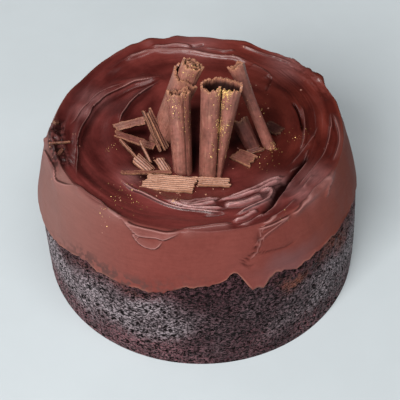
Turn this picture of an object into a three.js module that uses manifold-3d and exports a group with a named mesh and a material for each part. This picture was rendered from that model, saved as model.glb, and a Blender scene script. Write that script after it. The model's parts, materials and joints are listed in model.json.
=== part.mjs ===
// A round chocolate fudge cake: a dark sponge, fudge icing spread in a knife swirl,
// and chocolate scrolls and flakes piled in the middle of the swirl.
// Millimetres, +Z up, front towards -Y, origin at the middle of the sponge's flat underside.
// Angles run anticlockwise seen from above, from 0 at the right-hand side (+X).

import * as THREE from "three";
import { mergeVertices } from "three/addons/utils/BufferGeometryUtils.js";
import Module from "manifold-3d";

const wasm = await Module();
wasm.setup();

// Sponge
const SPONGE_RADIUS = 90;
const SPONGE_HEIGHT = 70;
const SPONGE_DRAW_IN = 4.2; // how far the side leans in over the whole height
const SPONGE_LEAN = 2.9; // added to the draw-in on the right, taken off it on the left
const SPONGE_EDGE_ROUND = 20;
const CRUMB_RELIEF = 0.5; // height of the crumb's bumps on the side
const CRUMB_TOP = 46; // the side fades to smooth towards this height, below the icing

// Icing, each ring of values given every 30 degrees from the right-hand side
const ICING_SKIN = 1.2; // thickness at the lower edge
const EDGE_HEIGHTS = [60, 59, 57.5, 58, 56, 54, 51, 52, 55, 61, 62, 60];
const EDGE_NOTCH = { angle: 280, width: 6, rise: 4 };
const EDGE_TONGUE = { angle: 290, width: 5, rise: -4 };
const RIM_RADII = [74.3, 77, 77.5, 79.5, 81.5, 77.5, 78, 76.5, 76, 75.5, 75, 74.5];
const RIM_HEIGHT = 88.5;
const SHOULDER_POWER = 1.2; // 1 is a straight cone from edge to rim, 2 a full round shoulder

// Knife swirl on top: a band just inside the rim, an inner ring off the middle, a crossing ridge
const BAND_RADII = [69.5, 70, 66, 66.5, 73.5, 72, 71.5, 71.5, 71, 70.5, 68, 66.4];
const BAND_HEIGHT = 87.8;
const RING_RADIUS = 53;
const RING_CENTRE = { x: 5.5, y: -5 };
const RING_HEIGHT = 86;
const CROSSING_START = 115; // the ridge leaves the inner ring at this angle
const CROSSING_END = 211; // and runs out into the band here
const CROSSING_LEVEL = 0.68; // most of its way lies this share of the distance out to the band
const DISH_HEIGHT = 82.5; // the icing in the middle, under the scrolls
const TROUGH_DEPTH = 3.4;
const TROUGH_SLOPE = 0.19; // depth of a trough for each millimetre of its width, up to TROUGH_DEPTH

// Chocolate
const SHEET_THICKNESS = 1.1; // the shaved sheet that the scrolls are rolled from
const SCROLL_SINK = 2; // how deep a scroll's foot is pushed into the icing
const BROKEN_END = 0.9; // unevenness of the scrolls' broken upper ends
const FLAKE_RIDGE = 0.15; // height of the scraped ridges along a flake

// Scrolls: foot is [x, y] on the icing, top is the middle of the upper end, seam turns the section.
// bend gives the sheet's bend radius at its first and last edge, or at both edges and at its middle.
// rightTaper narrows the part to the right of the seam towards the foot, and wrapDrop lowers the
// top of the sheet's last turn.
const SCROLLS = [
  { name: "scroll_front_left", foot: [-9.2, -29.2], top: [-11.2, -12.3, 120], turns: 1.55, bend: [6.2, 2.9],
    seam: 35, footScale: 0.82 },
  { name: "scroll_front_right", foot: [7.6, -29.6], top: [9.6, -19.2, 130], turns: 1.6, bend: [2.8, 9.7],
    double: true, seam: 0, footScale: 0.9, rightTaper: 0.3 },
  { name: "scroll_back_left", foot: [-22.5, -4.5], top: [-5, 1.5, 127], turns: 2.8, bend: [1.6, 7.6],
    seam: 117, footScale: 0.8, wrapDrop: 8 },
  { name: "scroll_right", foot: [36.4, -11], top: [17.2, 2, 125], turns: 1.25, bend: [4.2, 2],
    seam: 300, footScale: 0.76, waist: 0.25 },
  { name: "scroll_right_small", foot: [28, -11.5], top: [19.4, -4.6, 96], turns: 0.6, bend: [4.2, 3.8],
    seam: 290, footScale: 0.8 },
];
const WRAP_START = 0.6; // share of the sheet at which the lowered wrap begins

// Flakes: from and to are [x, y, height above the icing] of the ends' middles, roll tips the face.
const FLAKES = [
  { name: "flake_front_large", from: [-28.5, -40.2, 0.9], to: [-3, -41.4, 1], width: 10.5, thick: 1.5,
    skew: 0.35 },
  { name: "flake_front_small", from: [-1.9, -38.4, 1], to: [14.2, -39.4, 0.9], width: 5.4, thick: 1.2,
    skew: -0.3 },
  { name: "flake_left_long", from: [-39.4, -34.6, 0.8], to: [-15, -31.4, 1.1], width: 1.8, thick: 1.4 },
  { name: "flake_left_upper", from: [-45.5, -0.5, 1.4], to: [-30, 6, 3.6], width: 4, thick: 1.4, roll: 40 },
  { name: "flake_left_lower", from: [-45, -4.2, 1], to: [-24.2, -12.4, 1.4], width: 4, thick: 1.2, roll: 12 },
  { name: "flake_left_stick", from: [-21.2, -13.8, 0.8], to: [-29.8, -4.4, 18.8],
    width: 1.7, thick: 1.2, roll: 15 },
  { name: "flake_left_plank", from: [-18.2, -12.8, 0.8], to: [-27, -4.6, 18.5],
    width: 3.2, thick: 1.3, roll: 15 },
  { name: "flake_left_sliver", from: [-42.5, -8.5, 0.7], to: [-33.6, -20.5, 0.8], width: 1.6, thick: 1.1 },
  { name: "flake_left_splinter", from: [-31.5, -13.5, 6], to: [-26.2, -23.6, 1.2], width: 1.5, thick: 1.1 },
  { name: "flake_left_ridged", from: [-33, -23.4, 3.6], to: [-25.4, -30, 0.9],
    width: 6, thick: 1.2, bow: 1.2 },
  { name: "flake_left_curled", from: [-21, -24.6, 4.2], to: [-17, -30, 0.9], width: 5, thick: 1.2, bow: 1.2 },
  { name: "flake_front_sliver", from: [10.6, -27.8, 0.7], to: [5.6, -35.2, 0.8], width: 1, thick: 1 },
  { name: "flake_right_square", from: [17.6, -17.4, 1.3], to: [26.2, -23.4, 1],
    width: 8, thick: 1.5, roll: 6 },
  { name: "flake_right_small", from: [24.2, -16, 0.8], to: [31, -13.2, 0.8], width: 3.8, thick: 1.2 },
  { name: "flake_right_dark", from: [35, 4.6, 0.9], to: [42, -0.8, 0.9], width: 7.5, thick: 1.4, roll: -6 },
];

// Small bits fused to the icing's rim: polar place of the middle, direction and size.
const RIM_BITS = [
  { angle: 191, radius: 74.5, turn: 12, size: [9.5, 1.6, 1.6], lift: 0.3 },
  { angle: 197, radius: 75, turn: 65, size: [4.6, 2.4, 1.4], lift: 0 },
  { angle: 179, radius: 76.8, turn: 30, size: [2.6, 2, 2], lift: 0 },
];

// Fineness of the solids
const AROUND = 76; // columns round the cake
const WALL_ROWS = 7;
const TOP_ROWS = 25;
const ROUND_ROWS = 7;
const SPONGE_ROWS = 7;
const STEPS_PER_TURN = 15;
const SCROLL_STEPS = 3;
const FLAKE_STEPS = 3;
const FIT_GAP = 0.3; // clearance between pieces that touch

const FULL_TURN = 2 * Math.PI;
const KNOT_STEP = FULL_TURN / EDGE_HEIGHTS.length;
const { clamp, degToRad, lerp, smoothstep } = THREE.MathUtils;

// Solids from geometry and back, for joining and cutting.
function toSolid(geometry) {
  const bare = geometry.clone();
  bare.deleteAttribute("normal");
  bare.deleteAttribute("uv");
  const merged = mergeVertices(bare, 1e-4);
  const triangles = [];
  const corners = merged.index.array;
  for (let i = 0; i < corners.length; i += 3) {
    const [a, b, c] = corners.slice(i, i + 3);
    if (a !== b && b !== c && c !== a) triangles.push(a, b, c);
  }
  return new wasm.Manifold(new wasm.Mesh({
    numProp: 3,
    vertProperties: Float32Array.from(merged.attributes.position.array),
    triVerts: Uint32Array.from(triangles),
  }));
}

function toGeometry(solid) {
  const mesh = solid.getMesh();
  const geometry = new THREE.BufferGeometry();
  geometry.setAttribute("position", new THREE.BufferAttribute(mesh.vertProperties, 3));
  geometry.setIndex(new THREE.BufferAttribute(mesh.triVerts, 1));
  geometry.computeVertexNormals();
  return geometry;
}

function largestPiece(solid) {
  return solid.decompose().reduce((best, piece) => (piece.volume() > best.volume() ? piece : best));
}

// Smooth closed curve through values spaced evenly round the cake (a cyclic Catmull-Rom spline).
function ringValue(values, angle) {
  const place = ((angle / KNOT_STEP) % values.length + values.length) % values.length;
  const knot = Math.floor(place);
  const t = place - knot;
  const [a, b, c, d] = [-1, 0, 1, 2].map((step) => values[(knot + step + values.length) % values.length]);
  return b + 0.5 * t * (c - a + t * (2 * a - 5 * b + 4 * c - d + t * (3 * (b - c) + d - a)));
}

// A hump of the given width centred on one angle round the cake.
function hump({ angle, width, rise }, at) {
  const away = Math.atan2(Math.sin(at - degToRad(angle)), Math.cos(at - degToRad(angle)));
  return rise * Math.exp(-((away / degToRad(width)) ** 2));
}

// A body turned round the cake's axis, whose outline may change with the angle.
// outlineAt(row, angle) gives [radius, height]; the outline starts and ends on the axis.
function turnedBody(rowCount, outlineAt) {
  const blank = Array.from({ length: rowCount }, (_, row) => new THREE.Vector2(0, row));
  const geometry = new THREE.LatheGeometry(blank, AROUND);
  const position = geometry.attributes.position;
  for (let i = 0; i < position.count; i += 1) {
    const column = Math.floor(i / rowCount) % AROUND;
    const angle = (column / AROUND) * FULL_TURN;
    const [radius, height] = outlineAt(i % rowCount, angle);
    position.setXYZ(i, radius * Math.cos(angle), radius * Math.sin(angle), height);
  }
  return geometry;
}

// Sponge side: a lean inwards that grows with height, with the crumb's bumps where it shows.
function spongeSide(height, angle) {
  const drawIn = SPONGE_DRAW_IN + SPONGE_LEAN * Math.cos(angle);
  return SPONGE_RADIUS - drawIn * (height / SPONGE_HEIGHT) ** 1.5;
}

function crumbBump(height, angle) {
  const fade = smoothstep(height, 0, 6) * (1 - smoothstep(height, CRUMB_TOP - 8, CRUMB_TOP));
  const wave = Math.sin(17 * angle + 0.5 * height) + Math.sin(29 * angle - 0.7 * height + 2);
  return 0.5 * CRUMB_RELIEF * fade * wave;
}

// Sponge outline with its rounded top edge, grown outwards for the icing that lies on it.
const SHOULDER_START = SPONGE_HEIGHT - SPONGE_EDGE_ROUND;

function spongeOutline(height, angle, grow) {
  if (height <= SHOULDER_START) return spongeSide(height, angle) + grow;
  const round = SPONGE_EDGE_ROUND + grow;
  const up = Math.min(height - SHOULDER_START, round);
  return spongeSide(SHOULDER_START, angle) - SPONGE_EDGE_ROUND + Math.sqrt(round ** 2 - up ** 2);
}

function spongeGeometry() {
  const shoulderRow = 1 + SPONGE_ROWS;
  const lastRow = shoulderRow + ROUND_ROWS + 1;
  return turnedBody(lastRow + 1, (row, angle) => {
    if (row === 0) return [0, 0];
    if (row === lastRow) return [0, SPONGE_HEIGHT];
    if (row >= shoulderRow) {
      const turn = ((row - shoulderRow) / ROUND_ROWS) * (Math.PI / 2);
      const height = SHOULDER_START + SPONGE_EDGE_ROUND * Math.sin(turn);
      return [spongeOutline(height, angle, 0), height];
    }
    const height = ((row - 1) / SPONGE_ROWS) * SHOULDER_START;
    return [spongeSide(height, angle) + crumbBump(height, angle), height];
  });
}

// Crest lines of the knife swirl at one angle, outermost first.
function innerRingRadius(angle) {
  const towards = RING_CENTRE.x * Math.cos(angle) + RING_CENTRE.y * Math.sin(angle);
  const offset = Math.hypot(RING_CENTRE.x, RING_CENTRE.y);
  return towards + Math.sqrt(RING_RADIUS ** 2 - offset ** 2 + towards ** 2);
}

function crestLines(angle) {
  const rim = { radius: ringValue(RIM_RADII, angle), height: RIM_HEIGHT };
  const band = { radius: ringValue(BAND_RADII, angle), height: BAND_HEIGHT };
  const ring = { radius: innerRingRadius(angle), height: RING_HEIGHT };
  const along = (angle - degToRad(CROSSING_START)) / degToRad(CROSSING_END - CROSSING_START);
  if (along <= 0 || along >= 1) return [rim, band, ring];
  const share = CROSSING_LEVEL * (1 - (1 - along) ** 6) + (1 - CROSSING_LEVEL) * along ** 8;
  const crossing = {
    radius: lerp(ring.radius, band.radius, share),
    height: lerp(ring.height, band.height, share),
  };
  return [rim, band, crossing, ring];
}

// Height of the icing's top: hollow troughs between the crest lines, a shallow dish in the middle.
function topHeight(radius, angle) {
  const crests = crestLines(angle);
  const last = crests[crests.length - 1];
  if (radius < last.radius) {
    return lerp(DISH_HEIGHT, last.height, (radius / last.radius) ** 4);
  }
  const next = crests.findIndex((crest) => radius >= crest.radius);
  const outer = crests[Math.max(next - 1, 0)];
  const inner = crests[Math.max(next, 1)];
  const width = outer.radius - inner.radius;
  const share = clamp((radius - inner.radius) / width, 0, 1);
  const depth = Math.min(TROUGH_DEPTH, TROUGH_SLOPE * width);
  return lerp(inner.height, outer.height, share) - depth * 4 * share * (1 - share);
}

function topHeightAt(x, y) {
  const angle = Math.atan2(y, x);
  return topHeight(Math.hypot(x, y), angle < 0 ? angle + FULL_TURN : angle);
}

// Lower edge of the icing, with the notch and the tongue that the knife left at the front.
function edgeHeight(angle) {
  return ringValue(EDGE_HEIGHTS, angle) + hump(EDGE_NOTCH, angle) + hump(EDGE_TONGUE, angle);
}

// Outer wall of the icing: a skin on the sponge low down, then a nearly straight slope to the rim.
function icingWall(height, angle) {
  const slopeStart = ringValue(EDGE_HEIGHTS, angle);
  if (height <= slopeStart) return spongeOutline(height, angle, ICING_SKIN);
  const up = Math.min((height - slopeStart) / (RIM_HEIGHT - slopeStart), 1);
  const across = (1 - up ** SHOULDER_POWER) ** (1 / SHOULDER_POWER);
  return lerp(ringValue(RIM_RADII, angle), spongeOutline(slopeStart, angle, ICING_SKIN), across);
}

// Icing: its underside follows the sponge, its outside is the wall and the swirl.
// grow raises the top, to keep other pieces clear of it.
function icingGeometry(grow) {
  const underRow = 1;
  const wallRow = underRow + ROUND_ROWS + 1;
  const rimRow = wallRow + WALL_ROWS;
  const underTop = SPONGE_HEIGHT + FIT_GAP;
  return turnedBody(rimRow + TOP_ROWS + 1, (row, angle) => {
    if (row < underRow) return [0, underTop];
    if (row < wallRow) {
      const turn = ((row - underRow) / ROUND_ROWS) * (Math.PI / 2);
      const height = lerp(edgeHeight(angle), underTop, Math.cos(turn));
      return [spongeOutline(height, angle, FIT_GAP), height];
    }
    if (row < rimRow) {
      const height = lerp(edgeHeight(angle), RIM_HEIGHT, (row - wallRow) / WALL_ROWS);
      return [icingWall(height, angle), height];
    }
    const radius = ringValue(RIM_RADII, angle) * (1 - (row - rimRow) / TOP_ROWS);
    return [radius, topHeight(radius, angle) + grow];
  });
}

function icingWithBits() {
  let solid = toSolid(icingGeometry(0));
  for (const { angle, radius, turn, size, lift } of RIM_BITS) {
    const at = degToRad(angle);
    const bit = new THREE.BoxGeometry(...size);
    bit.rotateZ(degToRad(turn));
    bit.translate(radius * Math.cos(at), radius * Math.sin(at), topHeight(radius, at) + lift);
    solid = solid.add(toSolid(bit));
  }
  return solid;
}

// Section of a rolled sheet: the middle line turns at the bend radius of each place along it,
// and the outline runs along its outer face and back along its inner face.
function rolledSection({ turns, bend, double, seam }, thickness) {
  const steps = Math.ceil(turns * STEPS_PER_TURN);
  const total = turns * FULL_TURN;
  const start = degToRad(seam) + (double ? Math.PI - total / 2 : 0);
  const line = [];
  const pen = new THREE.Vector2();
  for (let i = 0; i <= steps; i += 1) {
    line.push({ point: pen.clone(), heading: start + (total * i) / steps });
    const middle = (i + 0.5) / steps;
    const share = double ? Math.abs(Math.sin(Math.PI * middle)) ** 3 : middle;
    const stride = (lerp(bend[0], bend[1], share) * total) / steps;
    const heading = start + total * middle;
    pen.add(new THREE.Vector2(Math.cos(heading), Math.sin(heading)).multiplyScalar(stride));
  }
  const box = new THREE.Box2().setFromPoints(line.map(({ point }) => point));
  const centre = box.getCenter(new THREE.Vector2());
  const face = (side) => line.map(({ point, heading }) => new THREE.Vector2(
    point.x - centre.x - side * Math.sin(heading),
    point.y - centre.y + side * Math.cos(heading),
  ));
  return [...face(-thickness / 2), ...face(thickness / 2).reverse()];
}

// How far along the sheet a point of the section lies, from 0 at its first edge to 1 at its last.
function sheetShare(outline, x, y) {
  const gaps = outline.map((corner) => Math.hypot(corner.x - x, corner.y - y));
  const nearest = gaps.indexOf(Math.min(...gaps));
  const last = outline.length - 1;
  return Math.min(nearest, last - nearest) / ((last - 1) / 2);
}

// A scroll stands along +Z from its foot: tapered, waisted, and broken off unevenly at the top.
function scrollGeometry(scroll, length, grow) {
  const { footScale = 1, rightTaper = 1, waist = 0, wrapDrop = 0 } = scroll;
  const outline = rolledSection(scroll, SHEET_THICKNESS + 2 * grow);
  const geometry = new THREE.ExtrudeGeometry(new THREE.Shape(outline), {
    depth: length, steps: SCROLL_STEPS, bevelEnabled: false,
  });
  const position = geometry.attributes.position;
  const point = new THREE.Vector3();
  for (let i = 0; i < position.count; i += 1) {
    point.fromBufferAttribute(position, i);
    const share = point.z / length;
    const angle = Math.atan2(point.y, point.x);
    const wrapped = smoothstep(sheetShare(outline, point.x, point.y), WRAP_START, 1);
    const broken = BROKEN_END * (Math.sin(5 * angle) + Math.sin(9 * angle + 1)) - wrapDrop * wrapped;
    const scale = lerp(footScale, 1, share) * (1 - waist * Math.sin(Math.PI * share));
    const height = share * (length + broken) + 2 * grow * (share - 0.5);
    const narrow = point.x > 0 ? lerp(rightTaper, 1, share) : 1;
    position.setXYZ(i, point.x * scale * narrow, point.y * scale, height);
  }
  return geometry;
}

function scrollPlace({ foot, top }) {
  const start = new THREE.Vector3(...foot, topHeightAt(...foot) - SCROLL_SINK);
  const axis = new THREE.Vector3(...top).sub(start);
  const turn = new THREE.Quaternion().setFromUnitVectors(
    new THREE.Vector3(0, 0, 1), axis.clone().normalize(),
  );
  return { position: start, turn, length: axis.length() };
}

// A flake lies along +X about its middle: scraped ridges along it, slanted ends, bowed across.
function flakeGeometry({ width, thick, skew = 0, bow = 0 }, length, grow) {
  const ridges = Math.max(2, 2 * Math.round(width / 3));
  const geometry = new THREE.BoxGeometry(
    length + 2 * grow, width + 2 * grow, thick + 2 * grow, FLAKE_STEPS, ridges, 1,
  );
  const position = geometry.attributes.position;
  const point = new THREE.Vector3();
  for (let i = 0; i < position.count; i += 1) {
    point.fromBufferAttribute(position, i);
    const across = point.y / (width + 2 * grow);
    const ridge = FLAKE_RIDGE * (Math.round((across + 0.5) * ridges) % 2 === 0 ? 1 : -1);
    const lift = point.z > 0 ? ridge : 0;
    position.setX(i, point.x + skew * point.y + 0.35 * Math.sin(9 * across + point.x));
    position.setZ(i, point.z + lift - bow * 4 * across ** 2);
  }
  return geometry;
}

function flakePlace({ from, to, roll = 0 }) {
  const end = ([x, y, lift]) => new THREE.Vector3(x, y, topHeightAt(x, y) + lift);
  const start = end(from);
  const finish = end(to);
  const along = finish.clone().sub(start);
  const length = along.length();
  const ahead = along.normalize();
  const side = new THREE.Vector3(0, 0, 1).cross(ahead).normalize();
  const face = ahead.clone().cross(side);
  const turn = new THREE.Quaternion().setFromRotationMatrix(
    new THREE.Matrix4().makeBasis(ahead, side, face),
  );
  const tip = new THREE.Quaternion().setFromAxisAngle(new THREE.Vector3(1, 0, 0), degToRad(roll));
  return { position: start.lerp(finish, 0.5), turn: turn.multiply(tip), length };
}

// Materials
const finish = (color, roughness) => new THREE.MeshStandardMaterial({ color, roughness, metalness: 0 });
const crumb = finish(0x2b1c1a, 0.75);
const fudge = finish(0x5a2a26, 0.4);
const shaved = finish(0x8a5448, 0.5);

function piece(name, solid, material) {
  const mesh = new THREE.Mesh(toGeometry(solid), material);
  mesh.name = name;
  return mesh;
}

// Chocolate pieces are set on the icing one after another, each cut clear of what is there already.
let taken = toSolid(icingGeometry(FIT_GAP));

function settle(name, place, shapeAt) {
  const there = new THREE.Matrix4().compose(place.position, place.turn, new THREE.Vector3(1, 1, 1));
  const back = there.clone().invert();
  const free = toSolid(shapeAt(0)).subtract(taken.transform(back.elements));
  const mesh = piece(name, largestPiece(free), shaved);
  mesh.position.copy(place.position);
  mesh.quaternion.copy(place.turn);
  taken = taken.add(toSolid(shapeAt(FIT_GAP)).transform(there.elements));
  return mesh;
}

const cake = new THREE.Group();
cake.add(piece("sponge", toSolid(spongeGeometry()), crumb));
cake.add(piece("icing", icingWithBits(), fudge));

const toppings = new THREE.Group();
cake.add(toppings);
for (const scroll of SCROLLS) {
  const place = scrollPlace(scroll);
  toppings.add(settle(scroll.name, place, (grow) => scrollGeometry(scroll, place.length, grow)));
}
for (const flake of FLAKES) {
  const place = flakePlace(flake);
  toppings.add(settle(flake.name, place, (grow) => flakeGeometry(flake, place.length, grow)));
}

export default cake;
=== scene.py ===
# %% [markdown]
# # A chocolate fudge cake, piece by piece
#
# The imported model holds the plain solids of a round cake: a sponge, its icing, five chocolate scrolls and
# fifteen flakes, each at its real size and place. This lesson gives them the surfaces that an oven, a knife
# and a scraper leave. The frame comes first, because every piece is set exactly where its solid is.

# %% Load the frame
import json
import math
import bpy
import numpy as np
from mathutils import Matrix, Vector

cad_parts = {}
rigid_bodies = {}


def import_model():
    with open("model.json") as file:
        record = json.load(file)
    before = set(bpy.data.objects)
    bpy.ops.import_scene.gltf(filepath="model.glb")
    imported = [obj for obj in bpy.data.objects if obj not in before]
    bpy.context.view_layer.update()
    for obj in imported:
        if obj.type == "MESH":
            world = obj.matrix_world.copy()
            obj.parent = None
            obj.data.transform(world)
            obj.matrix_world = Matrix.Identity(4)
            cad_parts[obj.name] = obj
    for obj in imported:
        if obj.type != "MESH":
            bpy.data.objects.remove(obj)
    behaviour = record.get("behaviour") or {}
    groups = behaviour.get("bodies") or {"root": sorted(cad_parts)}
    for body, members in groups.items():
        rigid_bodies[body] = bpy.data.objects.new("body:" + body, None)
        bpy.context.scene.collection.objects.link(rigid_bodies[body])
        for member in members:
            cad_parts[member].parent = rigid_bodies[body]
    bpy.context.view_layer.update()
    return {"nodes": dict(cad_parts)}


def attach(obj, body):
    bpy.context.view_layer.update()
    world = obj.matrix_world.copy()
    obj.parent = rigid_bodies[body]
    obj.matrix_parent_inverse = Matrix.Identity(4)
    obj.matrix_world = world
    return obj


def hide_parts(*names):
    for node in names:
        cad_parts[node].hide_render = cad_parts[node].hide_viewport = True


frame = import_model()
MM = 0.001  # sizes below are in millimetres and become metres when a mesh is made
print("plain solids:", len(frame["nodes"]))

# %% [markdown]
# ## The camera
#
# The cake was photographed from in front and well above, so that the round top shows as a wide oval. The
# place, the dip and the focal length below were fitted to the round base, the level edge of the icing and
# the outline. With the camera settled first, every later render can be laid beside the photograph.

# %% Set the camera
CAMERA_PLACE = Vector((-0.6, -321.0, 363.8))
CAMERA_DIP = 45.985  # degrees below level
FOCAL_LENGTH = 72.0
SENSOR_WIDTH = 36.0

camera_data = bpy.data.cameras.new("camera")
camera_data.lens = FOCAL_LENGTH
camera_data.sensor_width = SENSOR_WIDTH
camera_data.clip_start = 0.01
camera = bpy.data.objects.new("camera", camera_data)
camera.location = CAMERA_PLACE * MM
camera.rotation_euler = (math.radians(90.0 - CAMERA_DIP), 0.0, 0.0)
bpy.context.scene.collection.objects.link(camera)
bpy.context.scene.camera = camera
print("camera dips", CAMERA_DIP, "degrees, lens", FOCAL_LENGTH, "mm")

# %% [markdown]
# ## Light
#
# The light is a large window to the left of the camera, not far above the floor. It reaches the side of the
# cake more squarely than the top, so the side looks paler although it is the same icing. A long strip higher
# up catches the flanks of the knife marks, and a small light at the left, behind the cake, puts a sheen on
# the left side. The room is dark behind, because the glossy top mirrors what is behind it.

# %% Set the light
WINDOW_COLOUR = (1.0, 0.985, 0.97)
FILL_COLOUR = (1.0, 0.97, 0.95)
LIGHTS = {
    # place and size in metres, watts and colour
    "window": ((-1.35, -2.3, 1.9), (1.6, 1.6), 120.0, WINDOW_COLOUR),
    "high_strip": ((0.5, -1.05, 2.3), (2.1, 0.8), 25.0, WINDOW_COLOUR),
    "left_sheen": ((-2.4, 1.2, 0.9), (1.2, 1.2), 14.0, FILL_COLOUR),
}
CAKE_MIDDLE = Vector((0.0, 0.0, 0.06))


def soft_light(name, place, size, watts, light_colour):
    """A large light at a place, aimed at the middle of the cake."""
    data = bpy.data.lights.new(name, "AREA")
    data.shape = "RECTANGLE"
    data.size, data.size_y = size
    data.energy = watts
    data.color = light_colour
    light = bpy.data.objects.new(name, data)
    light.location = place
    aim = CAKE_MIDDLE - light.location
    light.rotation_euler = aim.to_track_quat("-Z", "Y").to_euler()
    bpy.context.scene.collection.objects.link(light)


for light_name, light_values in LIGHTS.items():
    soft_light(light_name, *light_values)
print("lights:", len(bpy.data.lights))

# %% Darken the room
ROOM_FRONT = (0.27, 0.28, 0.29, 1.0)
ROOM_BACK = (0.030, 0.028, 0.027, 1.0)
DARK_WAY = (0.40, 0.65, 0.65)  # the room is darkest up, behind and to the right
DARK_FROM = 0.8  # how squarely a direction points that way where the room is fully dark


def make_room():
    """A world that fades from a bright front to a dark back."""
    world = bpy.data.worlds.new("room")
    world.use_nodes = True
    tree = world.node_tree
    way = tree.nodes.new("ShaderNodeTexCoord")
    darkness = tree.nodes.new("ShaderNodeVectorMath")
    darkness.operation = "DOT_PRODUCT"
    darkness.inputs[1].default_value = DARK_WAY
    fade = tree.nodes.new("ShaderNodeValToRGB")
    fade.color_ramp.elements[0].color = ROOM_FRONT
    fade.color_ramp.elements[1].color = ROOM_BACK
    fade.color_ramp.elements[1].position = DARK_FROM
    tree.links.new(way.outputs["Generated"], darkness.inputs[0])
    tree.links.new(darkness.outputs["Value"], fade.inputs["Fac"])
    tree.links.new(fade.outputs["Color"], tree.nodes["Background"].inputs["Color"])
    return world


bpy.context.scene.world = make_room()
bpy.context.scene.view_settings.view_transform = "Standard"
print("world:", bpy.context.scene.world.name)

# %% [markdown]
# ## Small tools for node trees
#
# Finishes and scattered pieces are both made of nodes. `new_node` adds one node, sets its options and joins
# or fills its sockets in one line. The other tools are short names for the nodes that come up most, so that a
# tree reads from top to bottom like a recipe.

# %% Make the node tools
def new_node(tree, kind, sockets=None, **options):
    """Add a node. Each entry of sockets is a value or another node's output, keyed by socket identifier."""
    made = tree.nodes.new(kind)
    for key, value in options.items():
        setattr(made, key, value)
    by_identifier = {socket.identifier: socket for socket in made.inputs}
    for key, value in (sockets or {}).items():
        if isinstance(value, bpy.types.NodeSocket):
            tree.links.new(value, by_identifier[key])
        else:
            by_identifier[key].default_value = value
    return made


def math_node(tree, operation, first, second=0.0):
    """The result of one sum on two numbers or sockets."""
    sockets = {"Value": first, "Value_001": second}
    return new_node(tree, "ShaderNodeMath", sockets, operation=operation).outputs[0]


def times(tree, first, *others):
    """The product of numbers or sockets."""
    for other in others:
        first = math_node(tree, "MULTIPLY", first, other)
    return first


def plus(tree, first, *others):
    """The sum of numbers or sockets."""
    for other in others:
        first = math_node(tree, "ADD", first, other)
    return first


print("node tools ready")


# %% Name the common nodes
def vector_node(tree, operation, first, second):
    """The result of one sum on two vectors, or of scaling a vector by a number."""
    other = "Scale" if operation == "SCALE" else "Vector_001"
    sockets = {"Vector": first, other: second}
    return new_node(tree, "ShaderNodeVectorMath", sockets, operation=operation).outputs[0]


def ease_node(tree, value, start, end, low=0.0, high=1.0):
    """A smooth step: low before start, high after end."""
    sockets = {"Value": value, "From Min": start, "From Max": end, "To Min": low, "To Max": high}
    return new_node(tree, "ShaderNodeMapRange", sockets, interpolation_type="SMOOTHSTEP").outputs["Result"]


def mix_node(tree, factor, first, second, blend="MIX"):
    """Two colours mixed by a factor."""
    sockets = {"Factor_Float": factor, "A_Color": first, "B_Color": second}
    made = new_node(tree, "ShaderNodeMix", sockets, data_type="RGBA", blend_type=blend)
    return next(item for item in made.outputs if item.identifier == "Result_Color")


def noise_node(tree, place, scale, detail):
    """Noise between 0 and 1."""
    sockets = {"Vector": place, "Scale": scale, "Detail": detail}
    return new_node(tree, "ShaderNodeTexNoise", sockets).outputs[0]


print("vectors, steps, mixes and noise ready")

# %% Make the tree and material tools
FLOAT = "NodeSocketFloat"
COLOUR = "NodeSocketColor"
GEOMETRY = "NodeSocketGeometry"


def colour(red, green, blue):
    """A linear colour with full alpha."""
    return (red, green, blue, 1.0)


def new_tree(name, kind, inputs, outputs):
    """An empty node group with named sockets, given as name: (socket type, default)."""
    tree = bpy.data.node_groups.new(name, kind)
    for title, (socket_type, default) in inputs.items():
        socket = tree.interface.new_socket(title, in_out="INPUT", socket_type=socket_type)
        if default is not None:
            socket.default_value = default
    for title, socket_type in outputs.items():
        tree.interface.new_socket(title, in_out="OUTPUT", socket_type=socket_type)
    entry = tree.nodes.new("NodeGroupInput")
    end = tree.nodes.new("NodeGroupOutput")
    return tree, entry.outputs, end.inputs


def new_material(name):
    """A material with a bare Principled shader; returns the material, its tree and the shader's sockets."""
    material = bpy.data.materials.new(name)
    material.use_nodes = True
    tree = material.node_tree
    return material, tree, tree.nodes["Principled BSDF"].inputs


def object_place(tree):
    """The place on the object that is being shaded, in metres."""
    return new_node(tree, "ShaderNodeTexCoord").outputs["Object"]


def attribute(tree, name, output="Fac"):
    """A number, or with the output Vector a vector, that the mesh stores for each of its points."""
    made = new_node(tree, "ShaderNodeAttribute", attribute_name=name, attribute_type="GEOMETRY")
    return made.outputs[output]


def bump(tree, height, distance, strength=1.0):
    """A bumped normal from a height map; distance is in metres."""
    sockets = {"Height": height, "Distance": distance, "Strength": strength}
    return new_node(tree, "ShaderNodeBump", sockets).outputs["Normal"]


print("tree and material tools ready")

# %% [markdown]
# ## A shared effect: cocoa mottle
#
# Nothing made of cocoa has one flat colour: fat and sugar draw apart, and thin places look redder. Icing,
# crumb and scraped chocolate all show this, at different sizes. One shader group mixes a dark and a pale
# colour by two sizes of noise, and every material places it with its own colours and sizes.

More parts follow.
